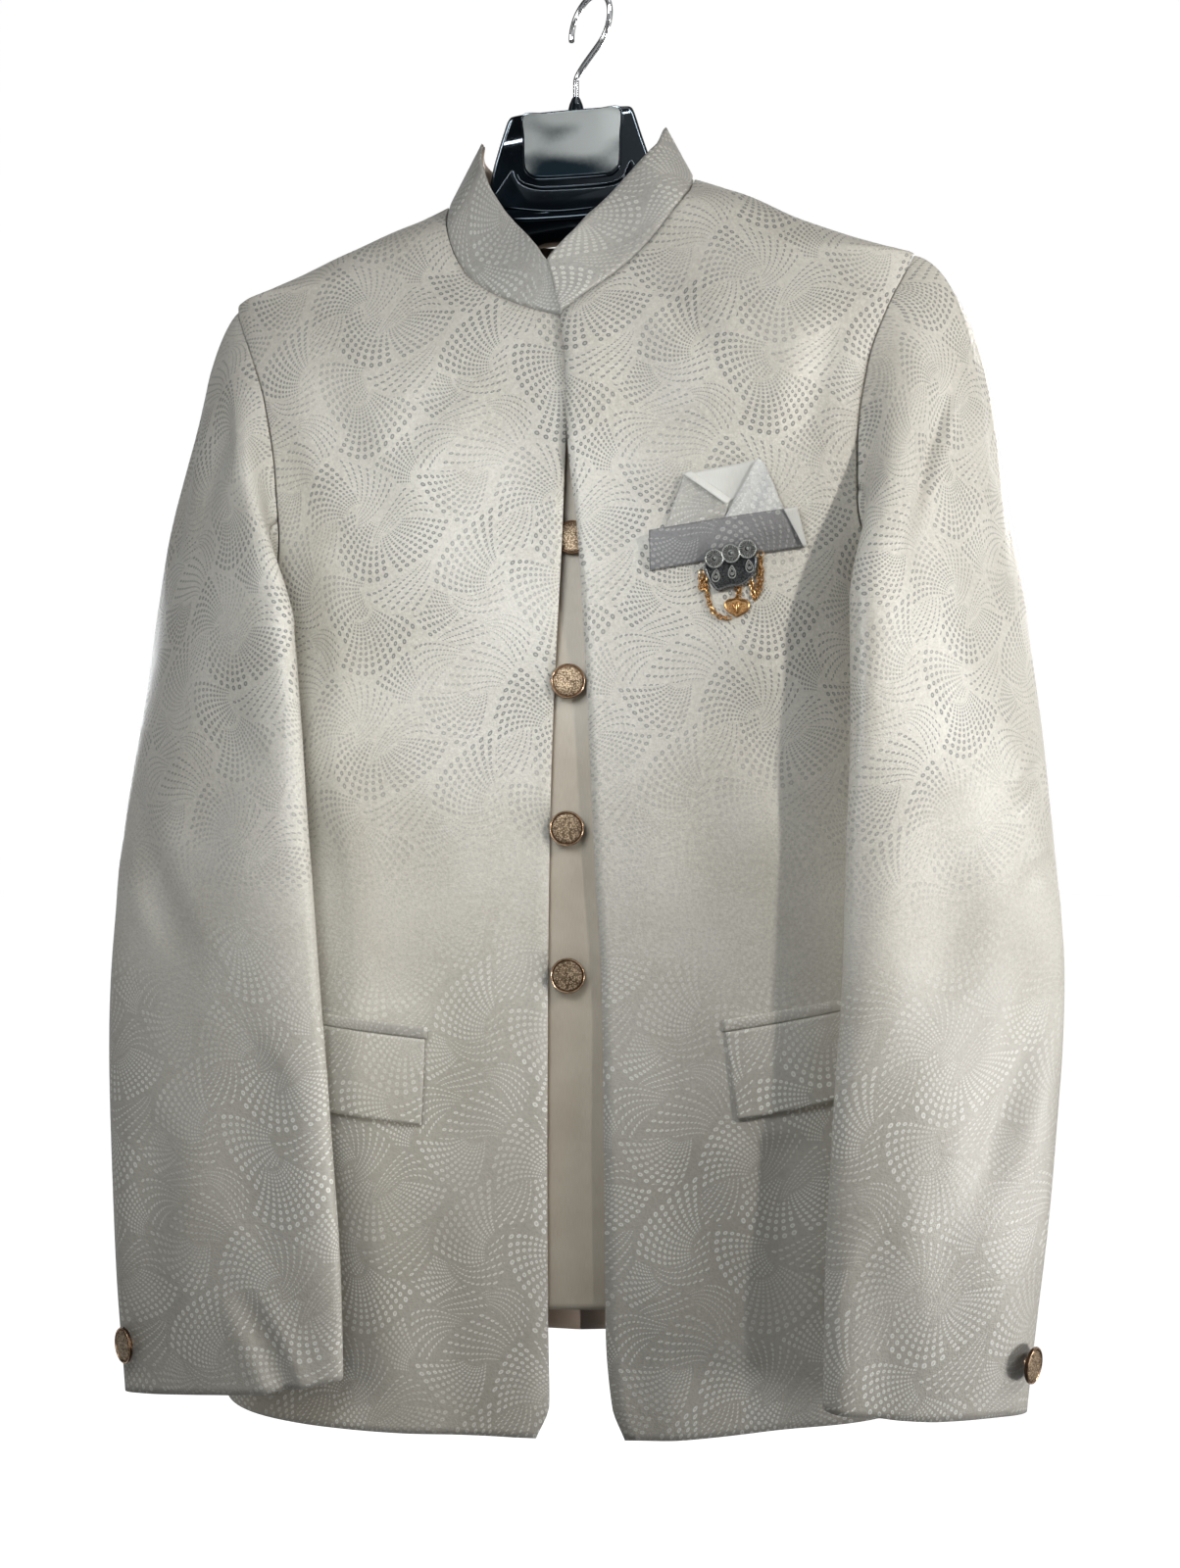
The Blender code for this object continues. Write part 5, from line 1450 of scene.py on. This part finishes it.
ARM_REACH = 0.198
ARM = Table(
    "x top height depth",
    "",
    (0, -118, 28.5, 19), (46, -122, 29, 18), (80, -131, 26, 14), (120, -144, 25, 16), (145, -152.6, 25, 17),
    (172, -163.2, 25, 17), (188, -170.2, 25, 15), (198, -176.5, 19, 10),
)
KNOB_Z = -0.0697
KNOB_HEIGHT = 0.0125
NECK_TOP_ROUND = -0.0790
NECK_FRONT_Y = -0.018
MOULDED_EDGE = math.radians(50)
NECK_OUTLINE = millimetres(
    (-50, -124.5), (-47.5, -108.5), (-44, -96), (-40.5, -85), (-37.5, -77), (-34, -73.8), (-21.1, -71.2),
    (-8, -70.2), (6, -69.9), (22, -71.2), (34, -72.6), (38.5, -74.2), (41.2, -80), (45, -92), (50, -107),
    (55, -124.5), (50, -140), (-45, -140),
)
PLATE_OUTLINE = millimetres(
    (-27, -77.2), (-13, -77), (2, -76.8), (16, -77), (31.2, -77.6), (31.6, -94), (31.4, -107.5), (30.5, -112),
    (28, -114.8), (23.5, -116.4), (3, -116.4), (-16.5, -115.8), (-22, -114), (-25.5, -110.5), (-26.8, -105),
    (-27, -91),
)
BEAD_LINE = millimetres(
    (-31.8, -112.8), (-30, -116.3), (-25.9, -119), (-19.8, -121), (-11.9, -122), (12.4, -122.6), (26, -122.2),
    (32.5, -120.2), (35.8, -116.5),
)
YOKE_OUTLINE = millimetres(
    (-51, -130), (-47, -125.5), (-43.7, -121.5), (-39.5, -115.5), (-35.7, -110.8), (-33.8, -110.4),
    (-32.6, -113.8), (-30, -118), (-25, -121.2), (-19, -123), (-11, -124), (13, -124.6), (27, -124),
    (33, -121.6), (35.2, -115), (37.8, -110), (40.2, -110), (43.7, -116.5), (48.5, -124), (54.5, -130),
    (42, -133), (25, -136.2), (6, -137.6), (-12, -137.2), (-30, -134.5),
)
# The knob's section from the middle of its top: radius in millimetres, and height as a share of the whole.
KNOB_PROFILE = (
    (0, 1.0), (1.6, 1.0), (2.4, 0.97), (3, 0.88), (3.6, 0.76), (4.3, 0.62), (4.9, 0.42), (5.3, 0.22),
    (5.6, 0.1), (5.6, 0.02), (5.2, -0.06), (0, -0.06),
)


def arm_section(x, count):
    """A rounded section of the hanger's arm."""
    top, height, depth = (float(ARM.read(name, abs(x))) for name in ("top", "height", "depth"))
    angle = 2 * math.pi * np.arange(count) / count
    z = top - height / 2 + height / 2 * np.sin(angle)
    return np.stack((np.full(count, x), depth * np.cos(angle), z), axis=-1)


def add_slab(work, outline, count, back, front, soften, segments=3, soften_back=False):
    """A flat piece in the front plane from its outline, extruded forwards, with its front edge softened."""
    verts = [work.verts.new((x, back, z)) for x, z in rounded(outline, count, closed=True)]
    face = work.faces.new(verts)
    face.normal_update()
    if face.normal.y > 0:
        bmesh.ops.reverse_faces(work, faces=[face])
    made = bmesh.ops.extrude_face_region(work, geom=[face], use_keep_orig=True)["geom"]
    top_verts = [item for item in made if isinstance(item, bmesh.types.BMVert)]
    top = [item for item in made if isinstance(item, bmesh.types.BMFace)][0]
    bmesh.ops.translate(work, vec=(0.0, front - back, 0.0), verts=top_verts)
    edges = list(top.edges) + (list(face.edges) if soften_back else [])
    island = set(verts) | set(top_verts)
    bmesh.ops.recalc_face_normals(work, faces=list({item for vert in island for item in vert.link_faces}))
    bevel = {"segments": segments, "profile": 0.5, "affect": "EDGES", "material": -1, "clamp_overlap": True}
    bmesh.ops.bevel(work, geom=edges, offset=soften, **bevel)


def hung_piece(node, ending, work, finishes):
    """A hanger piece, moved from the stem's frame to the part's."""
    bmesh.ops.transform(work, matrix=HANG, verts=work.verts)
    declare(finished(f"{node}_{ending}", work, finishes, MOULDED_EDGE), [node])


def build_hanger_body():
    work = bmesh.new()
    count = 40
    half = np.linspace(ARM_REACH, 0.0, 34)
    stations = np.concatenate((-half, half[-2::-1]))
    bmesh.ops.create_grid(work, x_segments=count, y_segments=len(stations) - 1, size=1.0)
    work.verts.ensure_lookup_table()
    for row, x in enumerate(stations):
        section = arm_section(x, count)
        for column in range(count + 1):
            work.verts[row * (count + 1) + column].co = section[column % count]
    bmesh.ops.remove_doubles(work, verts=work.verts, dist=0.000001)
    bmesh.ops.holes_fill(work, edges=[edge for edge in work.edges if edge.is_boundary], sides=0)
    bmesh.ops.recalc_face_normals(work, faces=work.faces)
    add_slab(work, NECK_OUTLINE, 110, -NECK_FRONT_Y, NECK_FRONT_Y, 0.0038, 5, soften_back=True)
    for vert in work.verts:
        if vert.co.z > NECK_TOP_ROUND and abs(vert.co.x) < 0.05:
            share = (vert.co.z - NECK_TOP_ROUND) / 0.0095
            vert.co.y *= 1.0 - 0.52 * min(share, 1.0) ** 2
    middle = PLATE_OUTLINE.mean(axis=0)
    boss = middle + (PLATE_OUTLINE - middle) * (1.050, 1.070) - (0.0, 0.0003)
    add_slab(work, boss, 96, NECK_FRONT_Y + 0.001, NECK_FRONT_Y - 0.0010, 0.0009)
    add_slab(work, YOKE_OUTLINE, 150, NECK_FRONT_Y + 0.002, NECK_FRONT_Y - 0.0014, 0.0010)
    add_mesh(work, wire_mesh(flat_line(rounded(BEAD_LINE, 60), NECK_FRONT_Y - 0.0006), 0.0014))
    hung_piece("hanger_body", "moulding", work, (BLACK,))


def build_hanger():
    build_hanger_body()
    work = bmesh.new()
    add_slab(work, PLATE_OUTLINE, 96, NECK_FRONT_Y - 0.0009, NECK_FRONT_Y - 0.0019, 0.0005)
    hung_piece("hanger_plate", "face", work, (PLATE,))
    work = bmesh.new()
    add_turned(work, [(radius / 1000, height * KNOB_HEIGHT) for radius, height in KNOB_PROFILE], 48)
    bmesh.ops.translate(work, vec=hang(np.array([KNOB_X, 0.0, KNOB_Z])).tolist(), verts=work.verts)
    knob = finished("hanger_knob_turned", work, (BLACK,), MOULDED_EDGE)
    declare(knob, ["hanger_knob"])
    work = bmesh.new()
    wire = wire_mesh(hook_points(), HOOK_WIRE, roundness=8)
    work.from_mesh(wire)
    bpy.data.meshes.remove(wire)
    declare(finished("hanger_hook_wire", work, (CHROME,)), ["hanger_hook"])


HOOK_RADIUS = 0.0175
HOOK_START = math.radians(-50)
HOOK_END = math.radians(185)
HOOK_STEM_TOP = -0.045
HOOK_BEND = 0.018


def hook_points():
    """The hook's wire: a straight stem, a bend away from it, and a round that comes over the top to its tip."""
    middle = math.hypot(STEM[0] + KNOB_X, STEM[1])
    turn = math.atan2(STEM[1], -STEM[0] - KNOB_X)
    bottom = STEM[2] + KNOB_Z + KNOB_HEIGHT - 0.001
    stem = [(0.0, z) for z in np.linspace(bottom, HOOK_STEM_TOP, 8)]
    angles = np.linspace(HOOK_START, HOOK_END, 80)
    round_over = np.column_stack((np.cos(angles), np.sin(angles))) * HOOK_RADIUS
    round_over += (middle, HOOK_WIRE / 2 - HOOK_RADIUS)
    leave = np.array([0.0, HOOK_BEND])
    arrive = np.array([-math.sin(HOOK_START), math.cos(HOOK_START)]) * HOOK_BEND
    t = np.linspace(0.0, 1.0, 24)[1:-1, None]
    bend = curve(np.array(stem[-1]), leave, round_over[0], arrive, t)
    out, z = np.concatenate((stem, bend, round_over)).T
    return np.column_stack(((out - middle) * math.cos(turn), (middle - out) * math.sin(turn), z))


# Studio


def build_camera():
    camera = bpy.data.cameras.new("camera")
    camera.sensor_fit = "VERTICAL"
    camera.sensor_height = 36.0
    camera.lens = 26.0
    obj = linked("camera", camera)
    obj.location = (0.0661, -0.7019, -0.4879)
    obj.rotation_euler = (math.radians(90), 0.0, math.radians(5.4))
    bpy.context.scene.camera = obj


# The lamps: name, kind, watts, place, aim, colour and the settings of their size. A spot's light falls off softly
# towards the edge of its cone, and the strip is a long narrow lamp that only glossy surfaces show.
WHITE = (1.0, 1.0, 1.0)
WARM_CONE = {"shadow_soft_size": 0.035, "spot_size": math.radians(58), "spot_blend": 1.0}
NECK_CONE = {"shadow_soft_size": 0.01, "spot_size": math.radians(8), "spot_blend": 1.0}
STRIP_SIZE = {"shape": "RECTANGLE", "size": 1.5, "size_y": 0.06}
LAMPS = (
    ("warm", "SPOT", 17.0, (0.88, -0.62, 0.0), (0.12, -0.05, -0.34), (1.0, 0.95, 0.87), WARM_CONE),
    ("side", "AREA", 3.6, (0.98, -0.26, -0.88), (0.25, 0.0, -0.72), (1.0, 0.98, 0.96), 0.25),
    ("cool", "AREA", 0.98, (-0.09, -0.46, -0.31), (-0.08, -0.05, -0.42), (0.93, 0.97, 1.0), 0.20),
    ("left", "AREA", 0.70, (-0.62, -0.60, 0.0), (-0.15, -0.05, -0.30), (1.0, 0.98, 0.94), 0.30),
    ("low", "AREA", 0.38, (-0.22, -0.80, -0.62), (-0.12, -0.05, -0.62), (1.0, 0.94, 0.85), 0.40),
    ("top", "AREA", 0.6, (0.05, -0.30, 0.75), (0.0, -0.05, -0.25), (1.0, 0.98, 0.95), 0.4),
    ("back_left", "AREA", 15.0, (0.75, 1.15, 0.10), (0.0, 0.05, -0.40), (1.0, 0.97, 0.93), 0.60),
    ("back_right", "AREA", 8.0, (-0.85, 1.00, -0.35), (0.0, 0.05, -0.50), (0.95, 0.98, 1.0), 0.60),
    ("sleeve", "AREA", 2.1, (0.92, -0.16, -0.32), (0.27, 0.0, -0.32), (0.97, 0.99, 1.0), 0.20),
    ("strip", "AREA", 16.0, (0.0, -0.60, 0.55), (0.0, 0.0, -0.10), WHITE, STRIP_SIZE),
    ("neck", "SPOT", 7.0, (0.02, -0.62, -0.20), (-0.012, 0.03, -0.165), (1.0, 0.97, 0.92), NECK_CONE),
    ("bounce", "AREA", 0.46, (-0.45, -0.40, -0.60), (-0.19, -0.02, -0.64), (1.0, 0.93, 0.80), 0.30),
)
# The pieces that a lamp lights, where it doesn't light them all.
LIT = {
    "strip": ("hanger_body_moulding", "hanger_knob_turned", "hanger_hook_wire"),
    "neck": ("back_right_cloth", "back_left_cloth", "collar_lining_cloth"),
    "bounce": ("front_right_cloth", "pocket_flap_right_cloth"),
}


def add_lamp(name, kind, power, place, aim, colour, size):
    lamp = bpy.data.lights.new(f"{name}_lamp", kind)
    lamp.energy = power
    lamp.color = colour
    for key, value in (size if isinstance(size, dict) else {"shape": "DISK", "size": size}).items():
        setattr(lamp, key, value)
    obj = linked(f"{name}_lamp", lamp)
    obj.location = place
    obj.rotation_euler = (Vector(aim) - Vector(place)).to_track_quat("-Z", "Y").to_euler()
    obj.visible_diffuse = name != "strip"
    if name in LIT:
        pieces = bpy.data.collections.new(f"lit_by_{name}_lamp")
        for piece in LIT[name]:
            pieces.objects.link(bpy.data.objects[piece])
        obj.light_linking.receiver_collection = pieces
        if name == "bounce":
            obj.light_linking.blocker_collection = pieces


def build_backdrop(name, work, finish, **settings):
    return finished(name, work, (finish.surface(Emission_Strength=1.0, **settings),))


def inside_of_ball(radius):
    work = bmesh.new()
    bmesh.ops.create_uvsphere(work, u_segments=32, v_segments=16, radius=radius)
    bmesh.ops.reverse_faces(work, faces=work.faces)
    return work


def build_studio():
    scene = bpy.context.scene
    scene.view_settings.view_transform = "Standard"
    world = bpy.data.worlds.new("studio")
    world.use_nodes = True
    background = world.node_tree.nodes["Background"]
    background.inputs["Color"].default_value = (0.96, 0.98, 1.0, 1.0)
    background.inputs["Strength"].default_value = 0.065
    scene.world = world
    for lamp in LAMPS:
        add_lamp(*lamp)
    work = bmesh.new()
    low = Matrix.Translation((0, 0, -1.75))
    bmesh.ops.create_circle(work, cap_ends=True, segments=64, radius=14.0, matrix=low)
    pale = Finish("pale_floor")
    tone = pale.mix(pale.noise(pale.place(), 3.0, 3.0), (0.985, 0.985, 0.985), WHITE)
    floor = build_backdrop("floor", work, pale, Base_Color=tone, Roughness=0.7, Emission_Color=tone)
    white = Finish("pale_surround")
    black = (0, 0, 0)
    settings = {"Base_Color": black, "Roughness": 1.0, "Emission_Color": WHITE}
    dome = build_backdrop("surround", inside_of_ball(13.5), white, **settings)
    mirrored = Finish("room_reflections")
    shapes = mirrored.noise(mirrored.place(), 0.10, 2.0).between(0.42, 0.60)
    glow = mirrored.mix(shapes, (0.03, 0.03, 0.03), (0.55, 0.55, 0.55))
    room = build_backdrop("reflections", inside_of_ball(13.0), mirrored, Base_Color=black, Emission_Color=glow)
    room.visible_camera = False
    for ray in ("diffuse", "glossy", "transmission", "shadow"):
        for piece in (dome, floor, room):
            setattr(piece, f"visible_{ray}", piece is room and ray == "glossy")


for side_name, side_sign in SIDES.items():
    build_front(side_name, side_sign)
    build_back(side_name, side_sign)
build_sleeves()
build_collar()
build_pockets()
build_breast_pocket()
build_strip()
build_buttons()
build_discs()
build_brooch_bar()
build_chains()
build_pendant()
build_hanger()
build_camera()
build_studio()
